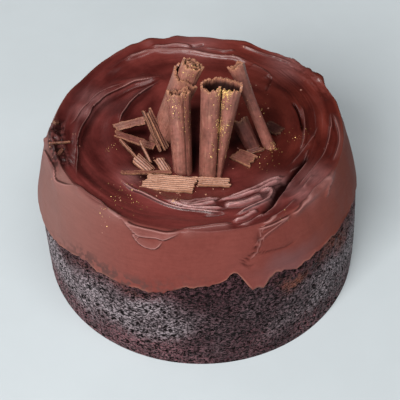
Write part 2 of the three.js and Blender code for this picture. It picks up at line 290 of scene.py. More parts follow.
# %% Build the mottle group
def build_mottle():
    """The group, with the scale of each noise, the specks' share and how sharply the two colours part."""
    inputs = {"Dark": (COLOUR, colour(0.05, 0.02, 0.015)), "Pale": (COLOUR, colour(0.2, 0.08, 0.06)),
              "Cloud Scale": (FLOAT, 60.0), "Speck Scale": (FLOAT, 600.0), "Speck Share": (FLOAT, 0.4),
              "Spread": (FLOAT, 0.17), "Upright Scale": (FLOAT, 1.0)}
    tree, entry, end = new_tree("cocoa_mottle", "ShaderNodeTree", inputs, {"Color": COLOUR, "Mask": FLOAT})
    stretch = new_node(tree, "ShaderNodeCombineXYZ", {"X": 1.0, "Y": 1.0, "Z": entry["Upright Scale"]})
    place = vector_node(tree, "MULTIPLY", object_place(tree), stretch.outputs[0])
    clouds = noise_node(tree, place, entry["Cloud Scale"], 3.0)
    specks = noise_node(tree, place, entry["Speck Scale"], 2.0)
    sockets = {"Factor_Float": entry["Speck Share"], "A_Float": clouds, "B_Float": specks}
    both = new_node(tree, "ShaderNodeMix", sockets).outputs[0]
    low = math_node(tree, "SUBTRACT", 0.5, entry["Spread"])
    high = math_node(tree, "ADD", 0.5, entry["Spread"])
    mask = ease_node(tree, both, low, high)
    tree.links.new(mix_node(tree, mask, entry["Dark"], entry["Pale"]), end["Color"])
    tree.links.new(mask, end["Mask"])
    return tree


MOTTLE = build_mottle()


def mottle(tree, dark, pale, cloud_scale, speck_scale, speck_share, spread=0.17, upright_scale=1.0):
    """Place the mottle group in a material."""
    made = new_node(tree, "ShaderNodeGroup", node_tree=MOTTLE)
    values = {"Dark": dark, "Pale": pale, "Cloud Scale": cloud_scale, "Speck Scale": speck_scale,
              "Speck Share": speck_share, "Spread": spread, "Upright Scale": upright_scale}
    for key, value in values.items():
        made.inputs[key].default_value = value
    return made.outputs


print("shared group:", MOTTLE.name)

# %% [markdown]
# ## The floor
#
# A plain pale floor, so wide that its edge lies far behind the cake from any side. Its faint cloudiness keeps
# it from looking like a sheet of paper, and it belongs to the stage, not to the cake.

# %% Lay the floor
FLOOR_RADIUS = 6.0  # metres
FLOOR_COLOUR = (0.61, 0.67, 0.70)
FLOOR_DIMMING = 0.96


def make_floor():
    """A round floor with a faintly cloudy finish."""
    bpy.ops.mesh.primitive_circle_add(vertices=96, radius=FLOOR_RADIUS, fill_type="NGON")
    floor = bpy.context.object
    floor.name = "floor"
    material, tree, shader = new_material("pale_floor")
    dim = colour(*(FLOOR_DIMMING * part for part in FLOOR_COLOUR))
    tint = mottle(tree, dim, colour(*FLOOR_COLOUR), 9.0, 60.0, 0.2)
    tree.links.new(tint["Color"], shader["Base Color"])
    shader["Roughness"].default_value = 0.6
    shader["Specular IOR Level"].default_value = 0.25
    floor.data.materials.append(material)
    return floor


make_floor()
print("floor radius", FLOOR_RADIUS, "m")

# %% [markdown]
# ## The icing's form
#
# Soft fudge was spread over the sponge and drawn round with a palette knife. The knife left a rim, a band
# inside it, an inner ring off the middle and one ridge that crosses between them, with hollow troughs
# between these crests. Each crest is a smooth closed curve through twelve radii, one every 30 degrees.

# %% Name the cake's sizes
SPONGE_RADIUS = 90.0
SPONGE_HEIGHT = 70.0
SPONGE_DRAW_IN = 4.2
SPONGE_LEAN = 2.9
SPONGE_SIDE_CURVE = 1.5
SPONGE_EDGE_ROUND = 20.0
SHOULDER_START = SPONGE_HEIGHT - SPONGE_EDGE_ROUND
ICING_SKIN = 1.2
FIT_GAP = 0.3
EDGE_HEIGHTS = np.array([60, 59, 57.5, 58, 56, 54, 51, 52, 55, 61, 62, 60])
RIM_RADII = np.array([74.3, 77, 77.5, 79.5, 81.5, 77.5, 78, 76.5, 76, 75.5, 75, 74.5])
BAND_RADII = np.array([69.5, 70, 66, 66.5, 73.5, 72, 71.5, 71.5, 71, 70.5, 68, 66.4])
RIM_HEIGHT = 88.5
BAND_HEIGHT = 87.8
RING_HEIGHT = 86.0
DISH_HEIGHT = 82.5
RING_RADIUS = 53.0
RING_CENTRE = (5.5, -5.0)
CROSSING = np.radians((115.0, 211.0))
CROSSING_LEVEL = 0.68
LEAVING_POWER = 6  # how quickly the crossing ridge leaves the ring
JOINING_POWER = 8  # and how late it joins the band
DISH_POWER = 4
SHOULDER_POWER = 1.2
TROUGH_DEPTH = 3.4
TROUGH_SLOPE = 0.19
TROUGH_FILL = np.array([0.4, 0.5, 0.6, 0.6, 0.4, 0.0, 0.0, 0.35, 0.8, 0.85, 0.5, 0.4])  # soft icing ran back
FULL_TURN = 2.0 * np.pi
print("rim height", RIM_HEIGHT, "dish height", DISH_HEIGHT)


# %% Outline the sponge and the icing's side
def ring_value(values, angle):
    """Smooth closed curve through values spaced evenly round the cake."""
    place = (angle / FULL_TURN * len(values)) % len(values)
    knot = np.floor(place).astype(int)
    t = place - knot
    a, b, c, d = (values[(knot + step) % len(values)] for step in (-1, 0, 1, 2))
    return b + 0.5 * t * (c - a + t * (2 * a - 5 * b + 4 * c - d + t * (3 * (b - c) + d - a)))


def sponge_outline(height, angle, grow):
    """Radius of the sponge, or of a skin grown on it, with the round edge at its top."""
    def side(level):
        draw_in = SPONGE_DRAW_IN + SPONGE_LEAN * np.cos(angle)
        return SPONGE_RADIUS - draw_in * (level / SPONGE_HEIGHT) ** SPONGE_SIDE_CURVE
    corner = SPONGE_EDGE_ROUND + grow
    up = np.clip(height - SHOULDER_START, 0.0, corner)
    rounded = side(SHOULDER_START) - SPONGE_EDGE_ROUND + np.sqrt(corner ** 2 - up ** 2)
    return np.where(height <= SHOULDER_START, side(np.maximum(height, 0.0)) + grow, rounded)


def icing_wall(height, angle):
    """Outer radius of the icing's side: a skin on the sponge low down, then a slope to the rim."""
    start = ring_value(EDGE_HEIGHTS, angle)
    rim = ring_value(RIM_RADII, angle)
    up = np.clip((height - start) / (RIM_HEIGHT - start), 0.0, 1.0)
    across = (1.0 - up ** SHOULDER_POWER) ** (1.0 / SHOULDER_POWER)
    slope = rim + (sponge_outline(start, angle, ICING_SKIN) - rim) * across
    return np.where(height <= start, sponge_outline(height, angle, ICING_SKIN), slope)


print("icing at the sponge's top:", round(float(icing_wall(SPONGE_HEIGHT, 0.0)), 1), "mm from the axis")


# %% Shape the top
def trough(radius, inner, inner_height, outer, outer_height, fill):
    """Height of the hollow between two crests."""
    width = np.maximum(outer - inner, 1e-3)
    share = np.clip((radius - inner) / width, 0.0, 1.0)
    depth = np.minimum(TROUGH_DEPTH, TROUGH_SLOPE * width) * (1.0 - fill)
    return inner_height + (outer_height - inner_height) * share - depth * 4.0 * share * (1.0 - share)


def icing_top(radius, angle):
    """Height of the swirl at a radius and an angle."""
    angle = angle % FULL_TURN
    rim = ring_value(RIM_RADII, angle)
    band = ring_value(BAND_RADII, angle)
    towards = RING_CENTRE[0] * np.cos(angle) + RING_CENTRE[1] * np.sin(angle)
    ring = towards + np.sqrt(RING_RADIUS ** 2 - np.hypot(*RING_CENTRE) ** 2 + towards ** 2)
    along = np.clip((angle - CROSSING[0]) / (CROSSING[1] - CROSSING[0]), 0.0, 1.0)
    leaving = 1.0 - (1.0 - along) ** LEAVING_POWER
    share = CROSSING_LEVEL * leaving + (1.0 - CROSSING_LEVEL) * along ** JOINING_POWER
    cross = ring + (band - ring) * share
    cross_height = RING_HEIGHT + (BAND_HEIGHT - RING_HEIGHT) * share
    dish = DISH_HEIGHT + (RING_HEIGHT - DISH_HEIGHT) * np.clip(radius / ring, 0.0, 1.0) ** DISH_POWER
    fill = ring_value(TROUGH_FILL, angle)
    low = trough(radius, ring, RING_HEIGHT, cross, cross_height, fill)
    high = trough(radius, cross, cross_height, band, BAND_HEIGHT, fill)
    outer = trough(radius, band, BAND_HEIGHT, rim, RIM_HEIGHT, fill)
    return np.select([radius < ring, radius < cross, radius < band], [dish, low, high], outer)


print("icing in the middle:", round(float(icing_top(0.0, 0.0)), 1), "mm high")

# %% [markdown]
# ## A map of the icing
#
# A place on the icing is given by its angle and its run: how far it lies inwards from the rim, or, below the
# rim, minus the drop to it. One grid of rows and columns covers the whole piece: the hidden underside, the
# lip of the lower edge, the side and the top. Columns stand closer at the front, where the knife left most.

# %% Make smooth fields
def ease(value, start, end):
    """Smooth step from 0 at start to 1 at end."""
    share = np.clip((value - start) / (end - start), 0.0, 1.0)
    return share * share * (3.0 - 2.0 * share)


def within(value, start, full, fading, end):
    """Rises from 0 at start to 1 at full, and falls from 1 at fading to 0 at end."""
    return ease(value, start, full) * (1.0 - ease(value, fading, end))


def bell(away, width):
    """1 at no distance, falling away smoothly over a width."""
    return np.exp(-(away / width) ** 2)


def wave_noise(points, size, seed, waves=12):
    """Smooth random field about 0, with features of the given size in millimetres."""
    draw = np.random.default_rng(seed)
    ways = draw.normal(size=(waves, 3))
    ways /= np.linalg.norm(ways, axis=1, keepdims=True)
    rates = FULL_TURN / size * draw.uniform(0.7, 1.4, waves)
    phases = draw.uniform(0.0, FULL_TURN, waves)
    field = sum(np.sin(points @ way * rate + phase) for way, rate, phase in zip(ways, rates, phases))
    return field / math.sqrt(0.5 * waves)


def noise_sum(points, parts):
    """Noise of several sizes, each given by its height, size and seed."""
    return sum(height * wave_noise(points, size, seed) for height, size, seed in parts)


print("half way up a step:", ease(0.5, 0.0, 1.0))

# %% Shape the lower edge
EDGE_WAVES = [
    # place and width in degrees, and rise, of the waves in the lower edge
    (228.0, 10.0, 4.5), (255.0, 7.0, -2.4), (281.0, 2.8, 4.6), (286.6, 2.3, -5.4),
    (290.4, 2.0, -4.6), (306.0, 11.0, -3.2),
]
EDGE_RAGS = [(0.35, 11.0, 21), (0.30, 4.0, 22)]  # height, size and seed


def upright(radius, angle, height):
    """Points from radius, angle and height."""
    return np.stack([radius * np.cos(angle), radius * np.sin(angle), height + 0.0 * angle], axis=-1)


def hump(angle, place, width, rise):
    """A smooth hump centred on one angle, in degrees."""
    away = np.angle(np.exp(1j * (angle - np.radians(place))))
    return rise * bell(away, np.radians(width))


def wavy_edge(angle):
    """Height of the icing's lower edge, uneven as the knife left it."""
    ragged = noise_sum(upright(SPONGE_RADIUS, angle, 0.0), EDGE_RAGS)
    waves = sum(hump(angle, *wave) for wave in EDGE_WAVES)
    return ring_value(EDGE_HEIGHTS, angle) + waves + ragged


print("waves in the lower edge:", len(EDGE_WAVES))

# %% Lay out the icing's grid
COLUMNS = 456
FRONT_CROWDING = 0.5  # share by which columns crowd towards the front
CREST_WANDER = [(1.3, 40.0, 31), (0.5, 16.0, 32)]  # height, size and seed

even = np.linspace(0.0, FULL_TURN, COLUMNS, endpoint=False)
ANGLES = even + FRONT_CROWDING * np.cos(even)


def icing_place(angle, run):
    """Point of the icing at an angle and a run, before the knife marks: the crests wander a little."""
    rim = ring_value(RIM_RADII, angle)
    level = RIM_HEIGHT + np.minimum(run, 0.0)
    radius = np.where(run >= 0.0, rim - run, icing_wall(level, angle))
    wander = noise_sum(upright(radius, angle, 0.0), CREST_WANDER) * ease(run, 0.5, 6.0)
    height = np.where(run >= 0.0, icing_top(np.clip(radius + wander, 0.0, rim), angle), level)
    return upright(radius, angle, height)


print("columns stand", round(360.0 / COLUMNS * (1.0 - FRONT_CROWDING), 2), "degrees apart at the front")

# %% Fill the grid
UNDER_ROWS = 6
WALL_ROWS = 54
TOP_ROWS = 155
LIP_BULGE = 0.3
LIP_RISE = 0.4
LIP_HEIGHT = 1.0
SOFTEN_PASSES = 30
UNDERSIDE_RUN = -60.0  # a run that no point of the side or the top has
WALL_CROWDING = 1.1  # rows of the side stand a little closer near the rim
TOP_CROWDING = 0.55  # share by which rows of the top stand closer near the rim
LIGHT_TOUCH = (30, 80, 205, 235)  # degrees; between these the crests are rounder


def soften(rows, weight):
    """Round the crests: average heights between neighbouring rows, more where the weight is larger."""
    heights = rows[..., 2]
    for _ in range(SOFTEN_PASSES):
        blurred = 0.25 * heights[:-2] + 0.5 * heights[1:-1] + 0.25 * heights[2:]
        heights[1:-1] += weight * (blurred - heights[1:-1])


def icing_rows():
    """Every row of the icing from the underside's middle to the top's middle, and each row's run."""
    edge = wavy_edge(ANGLES)
    rim = ring_value(RIM_RADII, ANGLES)
    rows, runs = [], []
    for turn in np.linspace(0.1, 0.5 * np.pi, UNDER_ROWS):
        height = edge + (SPONGE_HEIGHT + FIT_GAP - edge) * np.cos(turn)
        rows.append(upright(sponge_outline(height, ANGLES, 0.5 * FIT_GAP), ANGLES, height))
        runs.append(np.full(COLUMNS, UNDERSIDE_RUN))
    for share in 1.0 - np.linspace(1.0, 0.0, WALL_ROWS, endpoint=False) ** WALL_CROWDING:
        height = edge + (RIM_HEIGHT - edge) * share
        lip = LIP_BULGE * bell(height - edge - LIP_RISE, LIP_HEIGHT)
        rows.append(upright(icing_wall(height, ANGLES) + lip, ANGLES, height))
        runs.append(height - RIM_HEIGHT)
    for step in np.linspace(0.0, 1.0, TOP_ROWS, endpoint=False):
        run = rim * ((1.0 - TOP_CROWDING) * step + TOP_CROWDING * step ** 4)
        rows.append(icing_place(ANGLES, run))
        runs.append(run)
    points = np.array(rows)
    degrees = np.degrees(ANGLES) % 360.0
    soften(points[UNDER_ROWS + WALL_ROWS:], 0.25 + 0.75 * within(degrees, *LIGHT_TOUCH))
    return points, np.array(runs)


ICING_POINTS, ICING_RUNS = icing_rows()
print("icing grid:", ICING_POINTS.shape[0], "rows of", COLUMNS)

# %% [markdown]
# ## Knife marks
#
# A lip stands up where the knife lifted, with one gentle and one steep flank; a groove is a lip turned
# downwards. At the front the knife turned back on itself and left a fold of ribbons on a broad swell. Each
# mark is a short path of (angle, run) places. The relief at a point depends on its distance to the path and
# on which side of it the point lies, so all marks share one small function. Lips add up, but ribbons lie over
# each other: the highest one counts, and where two are equally high they meet in a sharp crease.

# %% List the lips of the top
TOP_LIPS = [
    # places (angle, run), rise, width on the inner or upper side, width on the outer or lower side
    ([(293.5, 4), (297, 5.5), (301, 7), (308, 11.2), (314, 13.8), (320.5, 15), (326, 15.2), (332, 15),
      (337.5, 15.2)], 1.0, 0.6, 1.8),
    ([(112, 31.2), (124, 29.2), (133, 24.8), (142, 20.8), (149, 18.2), (154, 17), (160.5, 16.5), (169, 16.2),
      (176, 15), (183.5, 14), (190.5, 12.5), (198, 10.8), (206, 7.2), (213, 3.5)], 1.6, 0.6, 2.6),
    ([(136, 21), (146, 16.8), (154, 14.4), (159, 13.6), (166, 11.2), (173, 10.5), (179, 8.2)], 0.7, 0.7, 1.2),
    ([(119, 34), (129, 35), (139, 33.8), (149, 32.8), (157, 33), (165, 33.2), (174, 34)], 1.0, 0.6, 2.0),
    ([(58, 14.6), (67, 14.5), (72, 14.2), (77.5, 14.5), (82.5, 14.8), (88, 14.2), (93, 13.2), (98, 12.2),
      (105, 11), (112, 9.2), (119, 8.2), (124.5, 7.8), (130, 7.5)], 1.6, 1.6, 1.2),
    ([(94, 8), (100, 6.2), (106.5, 5.8), (113, 5)], 1.1, 1.1, 1.0),
    ([(73, 8), (78, 10.2), (83, 9.8), (89, 9)], 1.0, 1.0, 1.0),
    ([(44, 3.5), (51.5, 3.2), (59, 4), (66, 3.8), (73, 3.2)], 0.9, 1.0, 1.2),
    ([(47.5, 18), (55, 16.2), (62, 15.5)], 1.2, 5.0, 0.7),
    ([(342, 20.8), (351, 19.8), (0.5, 19.8), (11, 19.2), (21, 18.5)], 1.1, 0.7, 1.6),
    ([(330.5, 22), (335, 21.2), (341, 19.8), (346, 18), (350.5, 16), (355.5, 14.5), (2.5, 12.2)],
     0.9, 0.7, 1.0),
    ([(323, 19.8), (327.5, 18.5), (333, 17.5), (339, 16.8), (344, 16.2)], 0.9, 0.8, 0.6),
    ([(317, 10), (324, 10.2), (332, 9.5), (341, 8.5), (351, 7), (1, 5.8), (10, 5)], 1.1, 0.8, 1.4),
    ([(317, 7), (321, 7.5), (326, 7.8)], 0.8, 0.7, 0.8),
    ([(292, -0.5), (296, 0), (301, 1.2), (306, 3.2), (311, 5.2)], 1.2, 0.7, 1.3),
]
print("lips on the top:", len(TOP_LIPS))

# %% List the ribbons of the fold
RIBBONS = [
    ([(281, 23.8), (287, 23), (291, 23), (296, 23), (301, 23.8), (306, 24), (312, 23.5), (316, 22),
      (320, 19)], 1.8, 0.9, 0.9),
    ([(276, 18.6), (282, 20.2), (287.5, 20.2), (293, 20), (298, 19.8), (304, 20.2), (308.5, 20.5),
      (313, 20), (315.5, 18)], 1.9, 1.0, 1.0),
    ([(298, 18.2), (302, 18.8), (305, 18), (306, 16), (304, 14.2), (302, 13), (298, 11.8), (294, 11.2),
      (291, 11), (287, 10), (283.5, 9)], 1.9, 1.1, 1.1),
    ([(280, 16.4), (284, 16), (288, 15.7), (293, 15.5), (297, 15.8), (300, 15.5)], 1.8, 1.6, 1.6),
    ([(257, 20.6), (263.5, 19.2), (267, 21.5), (272, 23.8), (279, 24.8)], 1.4, 0.9, 0.9),
    ([(258, 19), (262, 18), (266, 17.8), (270, 19.8), (275.5, 21.8), (282, 22.4)], 1.6, 0.9, 0.9),
    ([(262, 16.9), (268, 17.2), (273, 18), (278, 19)], 1.6, 0.9, 0.9),
    ([(250, 19), (257, 18), (262, 16.8), (267, 16), (272, 15.5), (276.5, 15), (281, 14.6)], 1.5, 0.8, 0.8),
    ([(219, 21.8), (229, 20.2), (235, 19), (240, 18.8), (245, 18), (249, 17), (253.5, 16), (259.5, 15),
      (265, 14.8), (270, 14.2), (273.5, 13.2), (277, 12.6), (281, 13.6)], 1.2, 1.1, 0.6),
    ([(282, 5.6), (286.5, 6), (290, 7.5), (294, 8.6)], 1.5, 1.0, 1.0),
    ([(283, 1.8), (287.5, 2.5), (290, 4), (292, 4.8), (296, 5.2)], 0.9, 0.7, 0.7),
]
SWELLS = [
    ([(228, 23), (240, 21), (252, 19.5), (265, 18.5), (280, 18), (295, 17.5), (308, 18), (320, 19)],
     1.8, 5.0, 6.0),
]
print("ribbons:", len(RIBBONS), "swells:", len(SWELLS))

# %% List the grooves
GROOVES = [
    ([(293, 6.2), (298, 7.8), (304, 11.5), (309, 13.5), (316, 15.8), (323, 17.2), (329, 17), (335, 16.8),
      (341, 16)], -3.2, 1.4, 1.1),
    ([(356, 20.8), (6, 21), (12.5, 21.2), (18.5, 21.5), (25, 21.8)], -1.8, 0.7, 0.7),
    ([(271, 11.3), (276, 11.2), (281, 11.5)], -0.8, 0.6, 0.5),
    ([(285, 3), (289, 4.2), (292, 5.8), (294, 9.2)], -0.9, 0.6, 0.6),
    ([(88, 5.6), (92, 7.2), (95, 7)], -1.3, 0.9, 0.9),
    ([(42, 29), (45, 22.8), (47.5, 17.5)], -0.9, 0.8, 0.6),
    ([(115, 33), (127, 31), (137, 25.6), (146, 22.2), (156.5, 19.6), (168, 18.8), (176, 17.6), (186, 16),
      (197, 13)], -1.3, 2.2, 0.9),
    ([(122, 36.5), (139, 36), (149, 35), (160, 35.4), (173, 36)], -0.7, 1.6, 0.8),
    ([(290.4, -1), (290.2, -7), (289, -10.8), (288, -13.2), (285.5, -15.5), (283, -17)], -1.5, 0.45, 0.45),
    ([(283.2, -16.8), (285, -19.2), (287, -20.5)], -1.0, 0.6, 0.6),
    ([(288, -13.4), (292, -14.6), (297, -15.5), (301, -16), (304, -14.6)], -0.8, 0.4, 0.4),
]
print("grooves:", len(GROOVES))

# %% List the lips of the rim and the lumps
RIM_LIPS = [
    ([(303, -1.5), (306.5, -1.2), (310, -0.2), (313.5, 0), (319, 1.5), (323, 0.8), (327.5, 0), (333, 0.2)],
     1.4, 0.7, 2.2),
    ([(290, -2.2), (293, -2), (297, -1.8), (300.5, -1.5), (304, -1.5)], 1.1, 0.6, 1.2),
    ([(262, -0.4), (266, 1.8), (269.5, 3), (274, 3.8), (278, 3.8), (282, 4.2)], 1.5, 0.6, 3.0),
    ([(214, 0.8), (219, 1.2), (223, 1.5), (226, 2), (230, 2), (234, 0.5), (238.5, 0), (243, -0.4)],
     1.5, 0.6, 3.4),
    ([(240, 0), (245.5, -1.2), (249, -1.2), (253.5, -1), (258, -1), (264, 0.2)], 1.1, 0.6, 2.0),
    ([(240, 0.2), (244, -2), (247, -4.2), (249, -4.8), (252.5, -4.2), (255, -3.8), (257, -4.2), (259.5, -2.5),
      (263, -0.2)], 1.2, 1.6, 0.5),
    ([(245.5, -4.6), (246.8, -6.2), (248.5, -8), (251, -9.2), (254, -9.2), (255.5, -7.8), (257, -4.6)],
     1.1, 2.0, 0.5),
    ([(290.8, -1), (290.9, -7), (289.8, -10.8), (288.8, -13.4), (286, -16.2)], 0.55, 0.5, 0.5),
    ([(288, -9.5), (293, -5.4), (297.5, -3.4), (303, -1.6)], 0.6, 0.45, 1.0),
    ([(328, 0), (325, -2), (322, -6)], 0.9, 0.7, 0.7),
    ([(188, -8), (190, -6.5), (197, -3.8), (202, -3.2), (206, -5.8), (211, -3.5), (217, 0.3)], 1.8, 0.7, 5.0),
    ([(172, -20), (177, -14), (181, -9), (184, -4)], 1.1, 0.8, 2.2),
    ([(338, 3), (345, 2), (352, 1.5), (0, 2.5), (9, 4)], 1.0, 0.8, 2.0),
]
LUMPS = [
    # angle, run, rise, width
    (31, 0.2, 2.6, 4.2), (37, 2.5, 1.2, 4.0), (46, 1.5, 0.9, 5.0), (112, -0.3, 2.4, 6.5),
    (120, 1.5, 1.2, 5.0), (101, 1.2, 1.0, 4.5), (88, 3, 1.0, 5.0), (70, 0, 0.9, 7.0), (332, 4, 0.8, 4.0),
    (185, 2, 1.2, 4.5), (198, 1, 1.0, 3.5), (15, 3, 0.8, 4.5), (55, 4, 0.8, 4.0), (52, 20, 1.2, 7.0),
]
print("lips on the rim:", len(RIM_LIPS), "lumps:", len(LUMPS))

# %% Follow paths over the icing
PATH_SAMPLES = 70


def smooth_path(places):
    """Evenly sampled curve through a few (angle, run) places."""
    knots = np.array(places, float)
    knots[:, 0] = np.degrees(np.unwrap(np.radians(knots[:, 0])))
    ends = np.vstack([2 * knots[0] - knots[1], knots, 2 * knots[-1] - knots[-2]])
    spot = np.linspace(0.0, len(knots) - 1.0, PATH_SAMPLES)
    first = np.minimum(spot.astype(int), len(knots) - 2)
    t = (spot - first)[:, None]
    a, b, c, d = (ends[first + step] for step in range(4))
    return b + 0.5 * t * (c - a + t * (2 * a - 5 * b + 4 * c - d + t * (3 * (b - c) + d - a)))


def surface_normals(points):
    """Outward unit normal of every point of a grid that closes on itself sideways."""
    around = np.roll(points, -1, axis=1) - np.roll(points, 1, axis=1)
    normals = np.cross(around, np.gradient(points, axis=0))
    return normals / np.maximum(np.linalg.norm(normals, axis=-1, keepdims=True), 1e-9)


ICING_NORMALS = surface_normals(ICING_POINTS)


def near_path(places, reach):
    """Points within reach of a path: which ones, how far, on the inner side or not, and how far along it."""
    knots = smooth_path(places)
    path = icing_place(np.radians(knots[:, 0]), knots[:, 1])
    inside = np.all((ICING_POINTS > path.min(0) - reach) & (ICING_POINTS < path.max(0) + reach), axis=-1)
    near = ICING_POINTS[inside]
    offsets = near[:, None, :] - path[None, :, :]
    gaps = np.linalg.norm(offsets, axis=-1)
    closest = gaps.argmin(axis=1)
    ahead = np.gradient(path, axis=0)[closest]
    ahead /= np.linalg.norm(ahead, axis=-1, keepdims=True)
    offset = offsets[np.arange(len(near)), closest]
    along = np.einsum("ij,ij->i", offset, ahead)
    past_end = ((closest == 0) & (along < 0.0)) | ((closest == PATH_SAMPLES - 1) & (along > 0.0))
    shortest = gaps.min(axis=1)
    gap = np.where(past_end, shortest, np.sqrt(np.maximum(shortest ** 2 - along ** 2, 0.0)))
    is_inner = np.einsum("ij,ij->i", np.cross(ICING_NORMALS[inside], ahead), offset) > 0.0
    return inside, gap, is_inner, closest / (PATH_SAMPLES - 1.0)


print("samples on each path:", PATH_SAMPLES)

# %% Raise lips, grooves and ribbons
PATH_TAPER = 0.15  # share of a path over which it fades at each end
MARK_REACH = 3.0  # a mark ends at this many times its width


def path_taper(share):
    """1 along a path, easing to 0 at both ends."""
    return within(share, 0.0, PATH_TAPER, 1.0 - PATH_TAPER, 1.0)


def mark_relief(marks):
    """Height that a list of lips or grooves adds at every point."""
    relief = np.zeros(ICING_POINTS.shape[:-1])
    for places, rise, inner_width, outer_width in marks:
        inside, gap, is_inner, share = near_path(places, MARK_REACH * max(inner_width, outer_width))
        width = np.where(is_inner, inner_width, outer_width)
        relief[inside] += rise * path_taper(share) * bell(gap, width)
    return relief


def ribbon_relief(ribbons):
    """Height of ribbons that lie over each other, and how deep each point lies in a crease between two."""
    highest = np.zeros(ICING_POINTS.shape[:-1])
    second = np.zeros_like(highest)
    for ribbon in ribbons:
        height = mark_relief([ribbon])
        second = np.maximum(second, np.minimum(highest, height))
        highest = np.maximum(highest, height)
    crease = ease(second / np.maximum(highest, 1e-6), 0.5, 1.0) * ease(highest, 0.05, 0.3)
    return highest, crease


def lump_relief(angle, run, rise, width):
    """Height that one rounded lump adds at every point."""
    middle = icing_place(np.radians(np.array([angle])), np.array([float(run)]))
    return rise * bell(np.linalg.norm(ICING_POINTS - middle, axis=-1), width)


lips = mark_relief(TOP_LIPS)
rim_lips = mark_relief(RIM_LIPS)
grooves = mark_relief(GROOVES)
ribbons, creases = ribbon_relief(RIBBONS)
swells = mark_relief(SWELLS)
icing_relief = lips + rim_lips + grooves + ribbons + swells
icing_relief += sum(lump_relief(*lump) for lump in LUMPS)
print("marks from", round(float(icing_relief.min()), 2), "to", round(float(icing_relief.max()), 2), "mm")

# %% Find the crests
LINE_REACH = 4.0  # crests further away than this draw no line


def crest_lines(marks):
    """Distance to the nearest crest, positive on its steep side, and how clearly that crest shows."""
    distance = np.full(ICING_POINTS.shape[:-1], LINE_REACH)
    clearness = np.zeros_like(distance)
    for places, rise, inner_width, outer_width in marks:
        inside, gap, is_inner, share = near_path(places, LINE_REACH)
        signed = np.where(is_inner == (inner_width <= outer_width), gap, -gap)
        clear = min(rise, 1.0) * path_taper(share) * (1.0 - ease(gap, 0.8, 1.6))
        closer = gap < np.abs(distance[inside])
        distance[inside] = np.where(closer, signed, distance[inside])
        clearness[inside] = np.where(closer, clear, clearness[inside])
    return distance, clearness


lip_gap, lip_clear = crest_lines(TOP_LIPS + RIM_LIPS + RIBBONS)
print("share of points near a crest:", round(float((lip_clear > 0.0).mean()), 2))

# %% [markdown]
# ## Streaks
#
# The uneven edge of the knife drew long streaks along the swirl, deepest on the right. They are noise
# squeezed across the swirl and drawn out round it. The drawn-out place of every point is kept, because the
# material draws the finest streaks with it.

# %% Draw the streaks
SWIRL_SHIFT, SWIRL_WOBBLE = 4.0, 1.5  # how far the swirl is off the middle, and how uneven
STREAK_LENGTH = 4.0
FINE_STREAK_LENGTH = 9.0
STREAK_WAVES = 16
STREAK_RISE = 0.65
STREAK_RUNS = (1.0, 4.0, 19.0, 27.0)  # the streaks begin, are full, fade and end here
CALM_RISE = 0.12  # share of the rise where the icing is calm
BROAD, NARROW, PATCHES = (5.0, 41), (2.4, 42), (24.0, 43)  # size and seed
UNEVENNESS = [(0.22, 28.0, 11), (0.05, 10.0, 12)]  # height, size and seed


def swirl_place(angle, run, length):
    """A place that is short across the swirl and long round it."""
    across = run + SWIRL_SHIFT * np.sin(angle) + SWIRL_WOBBLE * np.sin(2.0 * angle + 1.0)
    return np.stack([across, length * np.cos(angle), length * np.sin(angle)], axis=-1)


def streak_relief(angle, run):
    """Streaks with sharp valleys along the swirl, liveliest on the right."""
    place = swirl_place(angle, run, STREAK_LENGTH)
    broad, narrow, patches = (wave_noise(place, *sort, STREAK_WAVES) for sort in (BROAD, NARROW, PATCHES))
    turned = np.degrees(angle) % 360.0
    right = np.minimum(ease(turned, 296, 316) + 1.0 - ease(turned, 30, 70), 1.0)
    lively = CALM_RISE + right * ease(patches, -0.8, 1.2)
    valleys = np.abs(broad) + 0.4 * np.abs(narrow) - 0.8
    return STREAK_RISE * within(run, *STREAK_RUNS) * lively * valleys


grid_angles = np.broadcast_to(ANGLES, ICING_RUNS.shape)
streaks = streak_relief(grid_angles, ICING_RUNS)
icing_relief += streaks
icing_relief += noise_sum(ICING_POINTS, UNEVENNESS)
icing_relief *= ease(ICING_RUNS, -40.0, -30.0)
print("relief from", round(float(icing_relief.min()), 2), "to", round(float(icing_relief.max()), 2), "mm")

# %% [markdown]
# ## Numbers for the icing's finish
#
# A few numbers are stored at every point of the icing for the material to read: how far it belongs to the
# smoothed side, how brown the top is and how much painted light and knife strokes make it paler, how strong
# the painted sheen on the left is, where painted highlights pale the lips and the drawn-out satin icing,
# where the rim is torn, where a painted highlight follows the lower edge and where the icing above it is a
# thin film or lets crumb through, how much painted shade a point gets in a groove, a crease, on the right of
# the dish or in a gap of the pile, and how far it is from the nearest crest. From that distance the material
# can draw a painted highlight and a painted shade along a crest, finer than the mesh.

# %% List tones, sheens and gaps
# Painted light on the top: brighter at the front and the back, darker on the left and the right.
TOP_PAINTED_LIGHT = np.array([0.05, 0.6, 1.0, 0.9, 0.6, 0.4, 0.3, 0.5, 1.05, 1.3, 0.75, 0.12])  # every 30 degrees
BROWN_RING = np.array([1.0, 1.0, 0.8, 0.5, 0.3, 0.1, 0.0, 0.0, 0.0, 0.0, 0.1, 0.8])  # every 30 degrees
# Painted shade on the right of the dish, away from the light.
RIGHT_PAINTED_SHADE = np.array([0.6, 1.0, 0.5, 0.1, 0.0, 0.0, 0.0, 0.0, 0.0, 0.0, 0.0, 0.35])  # every 30 degrees
SATIN_HIGHLIGHTS = [
    # angle, run, strength and width of the painted satin highlights on drawn-out icing
    (312, 19, 0.7, 7.0), (303, 15, 0.5, 6.0), (326, 6, 0.35, 9.0), (315, 5, 0.4, 7.0), (157, 14, 0.35, 8.0),
    (168, 13, 0.35, 6.0), (48, 3, 0.35, 11.0), (226, 27, 0.4, 6.0), (92, 4, 0.25, 12.0),
]
